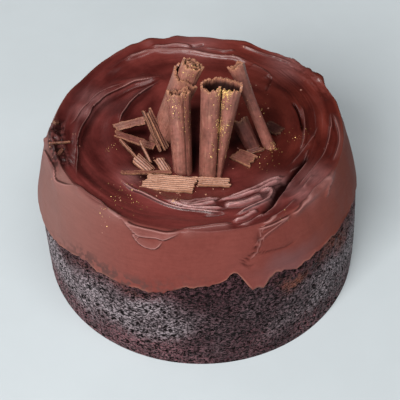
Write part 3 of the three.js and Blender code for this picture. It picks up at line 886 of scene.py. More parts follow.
PILE_SHADOWS = [
    # the two ends (x, y), the width and the darkness of painted shadow in gaps among the scrolls and flakes
    ((-31, 0), (-37, -1), 5.0, 0.96), ((-36, -12), (-34, -14), 5.5, 0.96),
    ((-32, -24), (-23, -23), 5.0, 0.96), ((-29, -35), (-27, -35), 4.5, 0.94),
    ((-26, -15), (-18, -14), 5.0, 0.94), ((-4, -29), (-4, 4), 4.6, 0.97), ((-4, 6), (-3.5, 19), 6.0, 0.85),
    ((20, 0), (21, 1), 5.0, 0.7), ((26, -10), (27, -10), 4.0, 0.9), ((17, -10), (17, -8), 5.0, 0.85),
]
print("sheens:", len(SATIN_HIGHLIGHTS), "gaps:", len(PILE_SHADOWS))

# %% Number the icing's colours
# Each row of four says where something begins, is full, fades and ends, in degrees or in runs.
LEFT_SHEEN_ANGLES, LEFT_SHEEN_STRENGTH = (165, 195, 205, 258), 0.70
BACK_ANGLES, BRIGHTEST_LIP_HIGHLIGHT = (50, 70, 125, 145), 0.6
TORN_LEFT, TORN_RIGHT, TORN_RUNS = (172, 182, 200, 207), (12, 24, 48, 62), (-6.0, -2.0, 5.0, 7.5)
FILM_ANGLE, FILM_SPREAD = 301.0, 11.0  # degrees; the icing is a thin film over the crumb here
THIN_ANGLE, THIN_SPREAD = 240.0, 24.0  # and lets crumbs through here
EDGE_HIGHLIGHT_WIDTH = 0.6
STROKE_LENGTH = 16.0
STROKE_CONTRAST = 0.28

degrees = np.degrees(grid_angles) % 360.0
above_edge = ICING_RUNS + RIM_HEIGHT - wavy_edge(ANGLES)
flank = 1.0 - ease(ICING_RUNS, -1.5, 1.8)
# Painted sheen: the side is paler and greyer on the left, as where it mirrors the bright floor.
left_painted_sheen = LEFT_SHEEN_STRENGTH * within(degrees, *LEFT_SHEEN_ANGLES) * flank
# Painted highlights on the lips of the rim and of the back, where they catch the light.
back_lip_highlights = within(degrees, *BACK_ANGLES) * ease(lips, 0.5, 1.6)
pale = np.maximum(np.clip(0.3 * rim_lips, 0.0, BRIGHTEST_LIP_HIGHLIGHT), BRIGHTEST_LIP_HIGHLIGHT * back_lip_highlights)
# Painted satin highlight on the fold's ribbons and at a few places where drawn-out icing catches the light.
satin_highlights = np.maximum.reduce([lump_relief(*sheen) for sheen in SATIN_HIGHLIGHTS])
satin_and_painted_highlight = np.maximum(0.9 * ease(ribbons, 0.25, 1.5), satin_highlights)
strokes = wave_noise(swirl_place(grid_angles, ICING_RUNS, STROKE_LENGTH), 9.0, 44, STREAK_WAVES)
# The top's tone is painted light, with knife strokes that are the icing's own tone.
tone = np.clip(ring_value(TOP_PAINTED_LIGHT, grid_angles) + STROKE_CONTRAST * strokes, 0.0, 1.3)
brown = ring_value(BROWN_RING, grid_angles)
# Painted highlight along the lip of the lower edge.
edge_highlight = bell(above_edge, EDGE_HIGHLIGHT_WIDTH) * ease(wave_noise(ICING_POINTS, 14.0, 61), -0.9, 0.7)
torn = np.maximum(within(degrees, *TORN_LEFT), 0.3 * within(degrees, *TORN_RIGHT))
torn = torn * within(ICING_RUNS, *TORN_RUNS)
thin = 0.9 * bell(degrees - THIN_ANGLE, THIN_SPREAD) * (1.0 - ease(above_edge, 3.0, 9.0))
film = bell(degrees - FILM_ANGLE, FILM_SPREAD) * (1.0 - ease(above_edge, 5.0, 14.0))
print("share of satin points:", round(float((satin_and_painted_highlight > 0.5).mean()), 3))


# %% Number the icing's depths
def away_from_line(points, start, end):
    """Distance, seen from above, from every point to a straight line between two places."""
    step = np.subtract(end, start)
    offset = points[..., :2] - start
    share = np.clip(offset @ step / (step @ step), 0.0, 1.0)
    return np.linalg.norm(offset - share[..., None] * step, axis=-1)


# Painted shadow in the gaps among the scrolls and flakes, and behind the scrolls.
gaps = np.zeros(ICING_RUNS.shape)
for start, end, width, darkness in PILE_SHADOWS:
    gaps = np.maximum(gaps, darkness * bell(away_from_line(ICING_POINTS, start, end), width))
# Painted shade on the ground of the fold, between its ribbons.
fold_ground = ease(swells, 0.4, 1.2) * ease(degrees, 252, 270) * (1.0 - ease(ribbons, 0.1, 0.8))
# Painted shade in grooves, in creases between ribbons and in the valleys of the streaks.
painted_shade = np.clip(-0.45 * grooves, 0.0, 0.9) + 0.85 * creases + np.clip(-1.2 * streaks, 0.0, 0.6)
painted_shade += 0.6 * fold_ground
# Painted shade on the right of the dish.
painted_shade += 0.28 * ring_value(RIGHT_PAINTED_SHADE, grid_angles) * ease(ICING_RUNS, 6.0, 14.0)
# One of these numbers is painted shade, in grooves, creases, the fold, the dish's right and the pile's gaps.
icing_numbers = {
    "flank": flank, "tone": tone, "brown": brown, "left_painted_sheen": left_painted_sheen, "pale": pale, "satin_and_painted_highlight": satin_and_painted_highlight,
    "edge_highlight": edge_highlight, "torn": torn, "thin": thin, "film": film,
    "painted_shade": np.clip(np.maximum(painted_shade, gaps), 0.0, 0.97),
    "lip_gap": lip_gap, "lip_clear": lip_clear * (1.0 - 0.5 * brown),
    "drawn": swirl_place(grid_angles, ICING_RUNS, FINE_STREAK_LENGTH),
}
print("numbers at each point:", len(icing_numbers))

# %% [markdown]
# ## The icing as a mesh
#
# The grid becomes one closed mesh: rows of points round the axis, joined by four-sided faces, with a fan of
# triangles to a point at each end. The sponge is made in the same way later, so one function does both.

# %% Build the icing
def store(mesh, title, values):
    """Keep a number or a vector for every point of a mesh."""
    numbers = np.reshape(values, (len(mesh.vertices), -1))
    kind, field = ("FLOAT_VECTOR", "vector") if numbers.shape[1] == 3 else ("FLOAT", "value")
    mesh.attributes.new(title, kind, "POINT").data.foreach_set(field, numbers.ravel())


def turned_mesh(name, points, start_pole, end_pole, numbers):
    """A closed mesh from rows of points round the axis, with a pole on the axis at each end."""
    rows, columns = points.shape[:2]
    poles = np.array([(0.0, 0.0, start_pole), (0.0, 0.0, end_pole)])
    vertices = np.vstack([poles[:1], points.reshape(-1, 3), poles[1:]])
    index = 1 + np.arange(rows * columns).reshape(rows, columns)
    beside = np.roll(index, -1, axis=1)
    quads = np.stack([index[:-1], beside[:-1], beside[1:], index[1:]], axis=-1).reshape(-1, 4)
    last = rows * columns + 1
    start_fan = [(0, b, a) for a, b in zip(index[0].tolist(), beside[0].tolist())]
    end_fan = [(a, b, last) for a, b in zip(index[-1].tolist(), beside[-1].tolist())]
    mesh = bpy.data.meshes.new(name)
    mesh.from_pydata((vertices * MM).tolist(), [], start_fan + quads.tolist() + end_fan)
    for title, values in numbers.items():
        listed = values.reshape(rows * columns, -1)
        at_pole = np.zeros((1, listed.shape[1]))
        store(mesh, title, np.vstack([at_pole, listed, at_pole]))
    mesh.shade_smooth()
    return mesh


def new_object(name, mesh):
    """Link a mesh to the scene as an object at the origin."""
    made = bpy.data.objects.new(name, mesh)
    bpy.context.scene.collection.objects.link(made)
    return made


icing_points = ICING_POINTS + ICING_NORMALS * icing_relief[..., None]
icing_mesh = turned_mesh("icing_coat", icing_points, SPONGE_HEIGHT + FIT_GAP, DISH_HEIGHT, icing_numbers)
icing = new_object("icing_coat", icing_mesh)
print("icing triangles:", sum(len(face.vertices) - 2 for face in icing_mesh.polygons))

# %% [markdown]
# ## Smears and tears by nodes
#
# The last relief follows the surface everywhere: soft smears of a millimetre or two, and a crumbly tear on
# the left rim. That is a job for Geometry Nodes: the tree moves every point along its normal by noise. The
# result is turned into a plain mesh, because the piece has to stand without its modifier.

# %% Make the surface tools
MILLIMETRES = 1000.0  # node trees read positions in metres


def surface_tree(name, sizes):
    """A Geometry Nodes tree that changes a surface, with a named number input for each size."""
    inputs = {"Geometry": (GEOMETRY, None)}
    inputs.update({title: (FLOAT, value) for title, value in sizes.items()})
    return new_tree(name, "GeometryNodeTree", inputs, {"Geometry": GEOMETRY})


def apply_tree(piece, tree, values):
    """Run a node tree on a piece with the given inputs and keep the result as its plain mesh."""
    modifier = piece.modifiers.new(tree.name, "NODES")
    modifier.node_group = tree
    for socket in tree.interface.items_tree:
        if socket.in_out == "INPUT" and socket.name in values:
            modifier[socket.identifier] = values[socket.name]
    graph = bpy.context.evaluated_depsgraph_get()
    mesh = bpy.data.meshes.new_from_object(piece.evaluated_get(graph), preserve_all_data_layers=True,
                                           depsgraph=graph)
    piece.modifiers.remove(modifier)
    piece.data = mesh
    return len(mesh.polygons)


def millimetre_position(tree, seed):
    """Position in millimetres, shifted by a seed so that two trees differ."""
    metres = new_node(tree, "GeometryNodeInputPosition").outputs["Position"]
    return vector_node(tree, "ADD", vector_node(tree, "SCALE", metres, MILLIMETRES), seed)


def named_value(tree, name, kind="FLOAT"):
    """A number, or with the kind FLOAT_VECTOR a vector, stored on the mesh."""
    made = new_node(tree, "GeometryNodeInputNamedAttribute", {"Name": name}, data_type=kind)
    return made.outputs["Attribute"]


def move_out(tree, geometry, height):
    """Move every point along its normal by a height in millimetres."""
    normal = new_node(tree, "GeometryNodeInputNormal").outputs["Normal"]
    offset = vector_node(tree, "SCALE", normal, times(tree, height, MM))
    moved = new_node(tree, "GeometryNodeSetPosition", {"Geometry": geometry, "Offset": offset})
    return moved.outputs["Geometry"]


def noise_height(tree, place, scale, height, detail=2.0):
    """Noise about 0, of the given height."""
    return times(tree, math_node(tree, "SUBTRACT", noise_node(tree, place, scale, detail), 0.5), height)


print("surface tools ready")

# %% Smear and tear the icing
SMEAR_SIZES = {"Smear Height": 0.15, "Smear Scale": 0.22, "Tear Height": 6.0, "Tear Scale": 0.38, "Seed": 4.0}


def build_smears():
    """Soft smears all over, and tears where the mesh says that the rim is torn."""
    tree, entry, end = surface_tree("icing_smears", SMEAR_SIZES)
    place = millimetre_position(tree, entry["Seed"])
    smears = noise_height(tree, place, entry["Smear Scale"], entry["Smear Height"])
    tears = noise_height(tree, place, entry["Tear Scale"], entry["Tear Height"], 3.0)
    height = plus(tree, smears, times(tree, tears, named_value(tree, "torn")))
    tree.links.new(move_out(tree, entry["Geometry"], height), end["Geometry"])
    return tree


print("icing faces after smearing:", apply_tree(icing, build_smears(), SMEAR_SIZES))

# %% [markdown]
# ## The icing's finish
#
# Fudge icing is cocoa butter and sugar: dark, a little translucent and satin where the knife drew it out. The
# side was smoothed more and is paler and duller than the top, and the right is browner. The stored numbers
# choose between these, and the mottle group breaks them up. Drawn-out places get a painted satin highlight
# with fine lines, a thin painted highlight and a thin painted shade follow each crest, and a fine bump stands
# for the marks that are too small for the mesh. The gloss of the top is a coat over a dull base, because a
# coat's weight can change over a surface.

# %% List the icing's colours
# A mottle has a dark and a pale colour, the scales of its clouds and specks, and the specks' share.
ICING_TOP = (colour(0.058, 0.0078, 0.0070), colour(0.080, 0.0118, 0.0104), 45.0, 420.0, 0.35)
# The lit top is the top's colour made paler by painted light.
ICING_LIT_TOP = (colour(0.120, 0.0205, 0.0180), colour(0.158, 0.0295, 0.0262), 45.0, 420.0, 0.35)
ICING_SIDE = (colour(0.138, 0.0330, 0.0265), colour(0.163, 0.0420, 0.0340), 40.0, 500.0, 0.35)
BROWNING = colour(0.96, 0.84, 0.62)
# Tints by number: a painted sheen on the left, the thin film's colour, painted highlights on lips and satin.
ICING_TINTS = {
    "left_painted_sheen": colour(0.198, 0.1060, 0.0920), "film": colour(0.150, 0.0580, 0.0560),
    "pale": colour(0.235, 0.1020, 0.0900), "satin_and_painted_highlight": colour(0.395, 0.1880, 0.1840),
}
# The colour of the painted highlight along crests.
CREST_HIGHLIGHT_TINT = colour(0.350, 0.1750, 0.1600)
CRUMB_TINT = colour(0.078, 0.0370, 0.0330)
TEAR_DARK = colour(0.020, 0.0042, 0.0040)
TEAR_PALE = colour(0.120, 0.0340, 0.0310)
EDGE_HIGHLIGHT_TINT = colour(0.310, 0.1300, 0.0950)
# The colour of painted shade.
PAINTED_SHADE_TINT = colour(0.010, 0.0016, 0.0015)
GLOSS_TINT = colour(1.0, 0.80, 0.78)
print("tints by number:", ", ".join(ICING_TINTS))

# %% Colour the icing
# A painted highlight runs along each crest, and a painted shade beside it on its steep side.
CREST_HIGHLIGHT_PLACE, CREST_HIGHLIGHT_STRENGTH = -0.1, 0.7  # where the pale line runs beside a crest, in millimetres
SHADE_PLACE, SHADE_STRENGTH = 0.55, 0.75  # and the dark one
CRUMB_SCALE = 300.0


def line_beside(tree, gap, place, outer, inner=0.08):
    """1 on a line that runs at a distance from every crest, fading from inner to outer."""
    away = math_node(tree, "ABSOLUTE", math_node(tree, "SUBTRACT", gap, place))
    return ease_node(tree, away, outer, inner)


def icing_colour(tree, streaks, lines, gap, clear):
    """Colour of the icing, and the mask of its mottle."""
    top = mottle(tree, *ICING_TOP)
    lit_top = mottle(tree, *ICING_LIT_TOP)
    side = mottle(tree, *ICING_SIDE)
    # Painted light and knife strokes choose between the top's colour and its lit copy.
    lit_and_streaked_tone = plus(tree, attribute(tree, "tone"), ease_node(tree, streaks, 0.3, 0.7, -0.07, 0.07))
    toned = mix_node(tree, lit_and_streaked_tone, top["Color"], lit_top["Color"])
    base = mix_node(tree, attribute(tree, "flank"), toned, side["Color"])
    base = mix_node(tree, attribute(tree, "brown"), base, BROWNING, "MULTIPLY")
    for name, tint in ICING_TINTS.items():
        base = mix_node(tree, attribute(tree, name), base, tint)
    fine_lines = ease_node(tree, lines, 0.36, 0.64, 0.5, 1.3)
    base = mix_node(tree, attribute(tree, "satin_and_painted_highlight"), base, fine_lines, "MULTIPLY")
    # Painted highlight along each crest.
    crest_highlight = times(tree, line_beside(tree, gap, CREST_HIGHLIGHT_PLACE, 0.38), clear, CREST_HIGHLIGHT_STRENGTH)
    base = mix_node(tree, crest_highlight, base, CREST_HIGHLIGHT_TINT)
    base = mix_node(tree, 1.0, base, ease_node(tree, streaks, 0.3, 0.7, 0.96, 1.04), "MULTIPLY")
    crumbs = noise_node(tree, object_place(tree), CRUMB_SCALE, 4.0)
    showing = times(tree, ease_node(tree, crumbs, 0.42, 0.58), attribute(tree, "thin"))
    base = mix_node(tree, showing, base, CRUMB_TINT)
    tattered = mix_node(tree, ease_node(tree, crumbs, 0.44, 0.60), TEAR_DARK, TEAR_PALE)
    base = mix_node(tree, times(tree, attribute(tree, "torn"), 0.9), base, tattered)
    base = mix_node(tree, times(tree, attribute(tree, "edge_highlight"), 0.75), base, EDGE_HIGHLIGHT_TINT)
    # Painted shade beside each crest, joined with the stored painted shade.
    beside = times(tree, line_beside(tree, gap, SHADE_PLACE, 0.42), clear, SHADE_STRENGTH)
    shaded = math_node(tree, "MAXIMUM", beside, attribute(tree, "painted_shade"))
    return mix_node(tree, shaded, base, PAINTED_SHADE_TINT), top["Mask"]


print("mottles of the icing: top, pale top and side")

# %% Finish the icing
STREAK_SCALE, LINE_SCALE, FINE_SCALE = 0.8, 1.7, 900.0
STREAK_BUMP, LINE_BUMP, FINE_BUMP, CREST_BUMP = 0.05, 0.45, 0.08, 0.25  # millimetres
TOP_GLOSS = 0.85
TOP_ROUGHNESS, SIDE_ROUGHNESS = 0.32, 0.55


def icing_material():
    """The icing's colour, gloss and fine relief."""
    material, tree, shader = new_material("fudge_icing")
    drawn = attribute(tree, "drawn", "Vector")
    streaks = noise_node(tree, drawn, STREAK_SCALE, 4.0)
    lines = noise_node(tree, drawn, LINE_SCALE, 3.0)
    gap = attribute(tree, "lip_gap")
    clear = attribute(tree, "lip_clear")
    flank = attribute(tree, "flank")
    base, mask = icing_colour(tree, streaks, lines, gap, clear)
    tree.links.new(base, shader["Base Color"])
    dullness = ease_node(tree, flank, 0.0, 1.0, TOP_ROUGHNESS, SIDE_ROUGHNESS)
    rough = plus(tree, dullness, ease_node(tree, mask, 0.0, 1.0, -0.03, 0.05))
    tree.links.new(rough, shader["Roughness"])
    # Less gloss where there is painted shade.
    unshaded = math_node(tree, "SUBTRACT", 1.0, attribute(tree, "painted_shade"))
    shine = times(tree, ease_node(tree, flank, 0.0, 1.0, TOP_GLOSS, 0.0), unshaded)
    tree.links.new(shine, shader["Coat Weight"])
    shader["Coat Roughness"].default_value = 0.33
    shader["Specular IOR Level"].default_value = 0.09
    shader["Specular Tint"].default_value = GLOSS_TINT
    fine = noise_node(tree, object_place(tree), FINE_SCALE, 3.0)
    step = times(tree, ease_node(tree, gap, 0.7, -0.2), clear)
    drawn_lines = times(tree, lines, attribute(tree, "satin_and_painted_highlight"))
    heights = ((fine, FINE_BUMP), (streaks, STREAK_BUMP), (step, CREST_BUMP), (drawn_lines, LINE_BUMP))
    relief = plus(tree, *(times(tree, source, height) for source, height in heights))
    bumped = bump(tree, relief, MM)
    tree.links.new(bumped, shader["Normal"])
    tree.links.new(bumped, shader["Coat Normal"])
    return material


def dress(piece, material, node=None):
    """Give a piece its finish and its slot, and let it stand for its solid, if it has one."""
    piece.data.materials.clear()
    piece.data.materials.append(material)
    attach(piece, "root")
    if node:
        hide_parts(node)


dress(icing, icing_material(), "icing")
print("icing finished")

# %% [markdown]
# ## The sponge
#
# Below the icing the bare side of the sponge shows: a dark, moist crumb full of pores. It is a drum whose
# relief follows a rule all over, so Geometry Nodes make it: soft lumps, round pores from two sizes of Voronoi
# cells, and fine grain. The tree also stores how deep each pore is, for the material.

# %% Lay out the sponge
SPONGE_COLUMNS = 940
SPONGE_SIDE_ROWS = 96
SPONGE_CAP_ROWS = 6
BARE_TOP = 66.0  # the crumb is open up to here, under the icing's edge


def sponge_rows():
    """Rows of the sponge from the underside to the top, and how bare the crumb is on each."""
    angle = np.linspace(0.0, FULL_TURN, SPONGE_COLUMNS, endpoint=False)
    rows, bare = [], []
    def add(radius, height, openness):
        rows.append(upright(radius, angle, height))
        bare.append(np.full(SPONGE_COLUMNS, openness))
    foot = sponge_outline(0.0, angle, 0.0)
    add(0.9 * foot, 0.0, 0.0)
    add(foot - 0.8, 0.0, 0.0)
    for height in np.linspace(0.25, BARE_TOP, SPONGE_SIDE_ROWS):
        openness = within(height, 0.0, 2.0, BARE_TOP - 3.0, BARE_TOP)
        add(sponge_outline(height, angle, 0.0), height, openness)
    cap_start = math.asin((BARE_TOP + 0.5 - SHOULDER_START) / SPONGE_EDGE_ROUND)
    for turn in np.linspace(cap_start, 0.5 * np.pi, SPONGE_CAP_ROWS):
        height = SHOULDER_START + SPONGE_EDGE_ROUND * math.sin(turn)
        add(sponge_outline(height, angle, 0.0), height, 0.0)
    return np.array(rows), np.array(bare)


sponge_points, sponge_bare = sponge_rows()
print("sponge grid:", sponge_points.shape[0], "rows of", SPONGE_COLUMNS)

# %% Number the crumb's colours
# Painted sheen on the crumb's film: high on the left and at the far right, low in front.
FILM_PAINTED_SHEEN = np.array([  # every 15 degrees, beginning at the right
    1.3, 1.1, 0.85, 0.75, 0.7, 0.7, 0.7, 0.7, 0.75, 0.8, 0.85, 0.95,
    1.0, 1.0, 0.92, 0.72, 0.72, 0.66, 0.2, 0.08, 0.3, 0.5, 0.78, 1.2,
])
RUBBED_SPOTS = [
    # angle and height, their widths, and strength of icing rubbed into the crumb
    (303.0, 52.0, 5.0, 5.0, 0.9), (325.0, 55.0, 13.0, 7.0, 0.45), (240.0, 52.0, 16.0, 4.0, 0.25),
]
# Close under the icing the film is moister and gets painted shade; near the foot it is paler.
MOIST_SHADE_UNDER_ICING = 0.40
PALER_AT_FOOT = 0.35

levels = sponge_points[..., 2] + 3.0 * wave_noise(sponge_points, 30.0, 71)
turns = np.arctan2(sponge_points[..., 1], sponge_points[..., 0]) % FULL_TURN
stain = np.maximum(ease(levels, 36, 54), 0.9 * (1.0 - ease(levels, 8, 26)))
# Paleness of the film: painted sheen, random unevenness, painted shade under the icing and a paler foot.
paleness_and_sheen = ring_value(FILM_PAINTED_SHEEN, turns) + 0.09 * wave_noise(sponge_points, 24.0, 72)
paleness_and_sheen -= MOIST_SHADE_UNDER_ICING * bell(wavy_edge(turns) - levels, 10.0)
paleness_and_sheen += PALER_AT_FOOT * (1.0 - ease(levels, 3, 16))
smear = np.zeros(levels.shape)
for angle, level, angle_width, level_width, strength in RUBBED_SPOTS:
    away = np.hypot((np.degrees(turns) - angle) / angle_width, (levels - level) / level_width)
    smear = np.maximum(smear, strength * bell(away, 1.0))
smear = smear * ease(wave_noise(sponge_points, 5.0, 73), -1.7, 0.1)
sponge_numbers = {"bare": sponge_bare, "stain": stain, "paleness_and_sheen": np.clip(paleness_and_sheen, 0.0, 1.0), "smear": smear}
print("mean dryness:", round(float(sponge_numbers["paleness_and_sheen"].mean()), 2))

# %% Build the sponge
CRUMB_SIZES = {"Lump Height": 0.9, "Pore Depth": 1.1, "Small Pore Depth": 0.6, "Grain Height": 0.5,
               "Seed": 9.0}


def pores(tree, place, scale, share, outer=0.52, inner=0.12, blur=0.05,
          separator="FunctionNodeSeparateColor"):
    """1 inside pores, 0 between them. A share of the cells hold one, with its wall from outer to inner."""
    cells = new_node(tree, "ShaderNodeTexVoronoi", {"Vector": place, "Scale": scale})
    chance = new_node(tree, separator, {"Color": cells.outputs["Color"]}).outputs[0]
    chosen = ease_node(tree, chance, 1.0 - share, 1.0 - share + blur)
    return times(tree, ease_node(tree, cells.outputs["Distance"], outer, inner), chosen)


def build_crumb():
    """Lumps and grain, less two sizes of pores."""
    tree, entry, end = surface_tree("sponge_crumb", CRUMB_SIZES)
    place = millimetre_position(tree, entry["Seed"])
    bare = named_value(tree, "bare")
    large = times(tree, pores(tree, place, 0.34, 0.4), entry["Pore Depth"])
    small = times(tree, pores(tree, place, 0.75, 0.6), entry["Small Pore Depth"])
    sunk = plus(tree, large, small)
    lumps = noise_height(tree, place, 0.22, entry["Lump Height"])
    grain = noise_height(tree, place, 0.8, entry["Grain Height"], 3.0)
    height = times(tree, math_node(tree, "SUBTRACT", plus(tree, lumps, grain), sunk), bare)
    moved = move_out(tree, entry["Geometry"], height)
    sockets = {"Geometry": moved, "Name": "pore", "Value": times(tree, sunk, bare)}
    stored = new_node(tree, "GeometryNodeStoreNamedAttribute", sockets, data_type="FLOAT", domain="POINT")
    tree.links.new(stored.outputs["Geometry"], end["Geometry"])
    return tree


sponge_mesh = turned_mesh("sponge_drum", sponge_points, 0.0, SPONGE_HEIGHT, sponge_numbers)
sponge = new_object("sponge_drum", sponge_mesh)
print("sponge faces:", apply_tree(sponge, build_crumb(), CRUMB_SIZES))

# %% [markdown]
# ## The sponge's finish
#
# Moist crumb is a grey-brown film stretched between pores, which are painted black as painted shade. A
# painted sheen makes it paler and greyer on the left and at the far right; in front it is dark, and close
# under the icing it gets painted shade. Three more sizes of pores, too small for the mesh, come from Voronoi
# cells whose places are shaken by noise, so that no pore is round. Close under the icing and near the foot
# the film is stained purple-brown; half way up it is greyest.

# %% Finish the sponge
FILM_PORES = [
    # scale, share of cells that hold a pore, and where its wall begins and ends
    (1050.0, 0.5, 0.46, 0.32), (540.0, 0.8, 0.44, 0.32), (230.0, 0.22, 0.38, 0.30),
]
PORE_BLUR = 0.02
PORE_FLATNESS = (1.0, 1.0, 1.8)
SHAKE = 0.0014  # metres
RUBBED_TINT = colour(0.215, 0.0700, 0.0420)
# Pores are painted near black, as painted shade in the holes.
PORE_SHADE_TINT = colour(0.004, 0.002, 0.0022)
UPRIGHT_SCALE = 1.5  # the film's specks are lower than they are wide
# Each film has a dark and a pale colour, the scales of its clouds and specks, their share and the spread.
GREY_FILM = (colour(0.050, 0.0360, 0.0410), colour(0.375, 0.3120, 0.3340), 90.0, 620.0, 0.88, 0.12)
STAINED_FILM = (colour(0.024, 0.0080, 0.0100), colour(0.200, 0.0820, 0.0940), 90.0, 700.0, 0.75, 0.14)
WET_FILM = (colour(0.009, 0.0030, 0.0040), colour(0.072, 0.0295, 0.0365), 120.0, 620.0, 0.85, 0.12)
WETTEST = 0.92


def film_hollows(tree, place):
    """1 in every pore of the film, from the mesh and from the finer cells."""
    flat = new_node(tree, "ShaderNodeMapping", {"Vector": place, "Scale": PORE_FLATNESS}).outputs["Vector"]
    shake = new_node(tree, "ShaderNodeTexNoise", {"Vector": place, "Scale": 900.0, "Detail": 2.0})
    shaken = vector_node(tree, "ADD", flat, vector_node(tree, "SCALE", shake.outputs["Color"], SHAKE))
    hollow = ease_node(tree, attribute(tree, "pore"), 0.45, 0.9)
    for sizes in FILM_PORES:
        finer = pores(tree, shaken, *sizes, PORE_BLUR, "ShaderNodeSeparateColor")
        hollow = math_node(tree, "MAXIMUM", hollow, finer)
    return hollow


def crumb_material():
    """The film's colour, dull in its pores, with a fine grain."""
    material, tree, shader = new_material("sponge_crumb")
    place = object_place(tree)
    hollow = film_hollows(tree, place)
    smear = attribute(tree, "smear")
    grey, stained, wet = (mottle(tree, *film, UPRIGHT_SCALE) for film in (GREY_FILM, STAINED_FILM, WET_FILM))
    film = mix_node(tree, attribute(tree, "stain"), grey["Color"], stained["Color"])
    # Where the painted sheen is weak, the dark wet film shows.
    dark_film_share = ease_node(tree, attribute(tree, "paleness_and_sheen"), 0.0, 1.0, WETTEST, 0.0)
    film = mix_node(tree, dark_film_share, film, wet["Color"])
    film = mix_node(tree, smear, film, RUBBED_TINT)
    open_hollow = times(tree, hollow, ease_node(tree, smear, 0.0, 1.0, 1.0, 0.35))
    # The pores get painted shade.
    tree.links.new(mix_node(tree, open_hollow, film, PORE_SHADE_TINT), shader["Base Color"])
    tree.links.new(ease_node(tree, hollow, 0.0, 1.0, 0.42, 0.85), shader["Roughness"])
    relief = math_node(tree, "SUBTRACT", noise_node(tree, place, 1600.0, 3.0), hollow)
    tree.links.new(bump(tree, relief, 0.8 * MM), shader["Normal"])
    shader["Specular IOR Level"].default_value = 0.12
    return material


dress(sponge, crumb_material(), "sponge")
print("sponge finished")

# %% [markdown]
# ## Scraped chocolate
#
# Scrolls and flakes are both thin sheets scraped from a block, so both are a slab between two faces. One
# function closes a slab from the grids of its faces. Every point remembers where it lay on the sheet, across
# and along the scraper's way, because ridges and pale streaks run along that way even round a roll, how near
# it is to a broken edge, and how much painted shade it gets in a groove, under a flake or inside a roll; a
# few pieces are darkened all over.

# %% Make slabs
def slab_mesh(name, face, back, grain, tone, edge, face_shade, back_shade):
    """A closed slab from two grids of points; grain holds each face point's place on the sheet."""
    across, along = face.shape[:2]
    def round_both(first, second):
        return np.concatenate([first, second[::-1]], axis=0)
    index = np.arange(2 * across * along).reshape(2 * across, along)
    beside = np.roll(index, -1, axis=0)
    walls = np.stack([index[:, :-1], beside[:, :-1], beside[:, 1:], index[:, 1:]], axis=-1).reshape(-1, 4)
    front, rear = index[:across], index[::-1][:across]
    foot = np.stack([front[:-1, 0], rear[:-1, 0], rear[1:, 0], front[1:, 0]], axis=-1)
    head = np.stack([front[:-1, -1], front[1:, -1], rear[1:, -1], rear[:-1, -1]], axis=-1)
    mesh = bpy.data.meshes.new(name)
    quads = np.concatenate([walls, foot, head]).tolist()
    mesh.from_pydata((round_both(face, back).reshape(-1, 3) * MM).tolist(), [], quads)
    store(mesh, "grain", round_both(grain, grain))
    store(mesh, "edge", round_both(edge, edge))
    store(mesh, "shade", round_both(face_shade, back_shade))
    store(mesh, "tone", np.full(len(mesh.vertices), tone))
    return mesh


print("slab maker ready")

# %% Make the scraper's marks
SCROLL_MARKS = {"Ridge Height": 0.14, "Ridges Each Millimetre": 0.4, "Chip Depth": 0.06}
FLAKE_MARKS = {"Ridge Height": 0.2, "Ridges Each Millimetre": 1.1, "Chip Depth": 0.15}
RIDGE_STRETCH = (1.0, 0.07, 1.0)  # draws the ridges out along the scraper's way


def build_scrapes():
    """Ridges along the scraper's way, less a few chips."""
    tree, entry, end = surface_tree("scraper_marks", {**FLAKE_MARKS, "Seed": 1.0})
    shifted = vector_node(tree, "ADD", named_value(tree, "grain", "FLOAT_VECTOR"), entry["Seed"])
    drawn = vector_node(tree, "MULTIPLY", shifted, RIDGE_STRETCH)
    ridges = noise_height(tree, drawn, entry["Ridges Each Millimetre"], entry["Ridge Height"])
    flecks = ease_node(tree, noise_node(tree, shifted, 0.8, 2.0), 0.58, 0.72)
    height = math_node(tree, "SUBTRACT", ridges, times(tree, flecks, entry["Chip Depth"]))
    tree.links.new(move_out(tree, entry["Geometry"], height), end["Geometry"])
    return tree


SCRAPES = build_scrapes()
print("scraper's marks:", SCRAPES.name)

# %% [markdown]
# ## The finish of scraped chocolate
#
# A scraper leaves chocolate satin on the crests, with pale dusty streaks where the blade dragged and a pale
# rough edge where the sheet broke, and the grooves get painted shade. The stored place on the sheet
# stretches a noise along the scraper's way for the streaks, and each piece's tone, from a dark scroll to the
# palest flake, slides the colours.

# %% Make the chocolate finish
STREAK_STRETCH = (0.9, 0.10, 1.0)  # across and along the sheet
DUSTIEST = 0.28
GROOVE_SHADE_TINT = colour(0.050, 0.0130, 0.0105)
BROKEN_TINT = colour(0.480, 0.2250, 0.1250)
SHADE_TINT = colour(0.016, 0.0050, 0.0042)


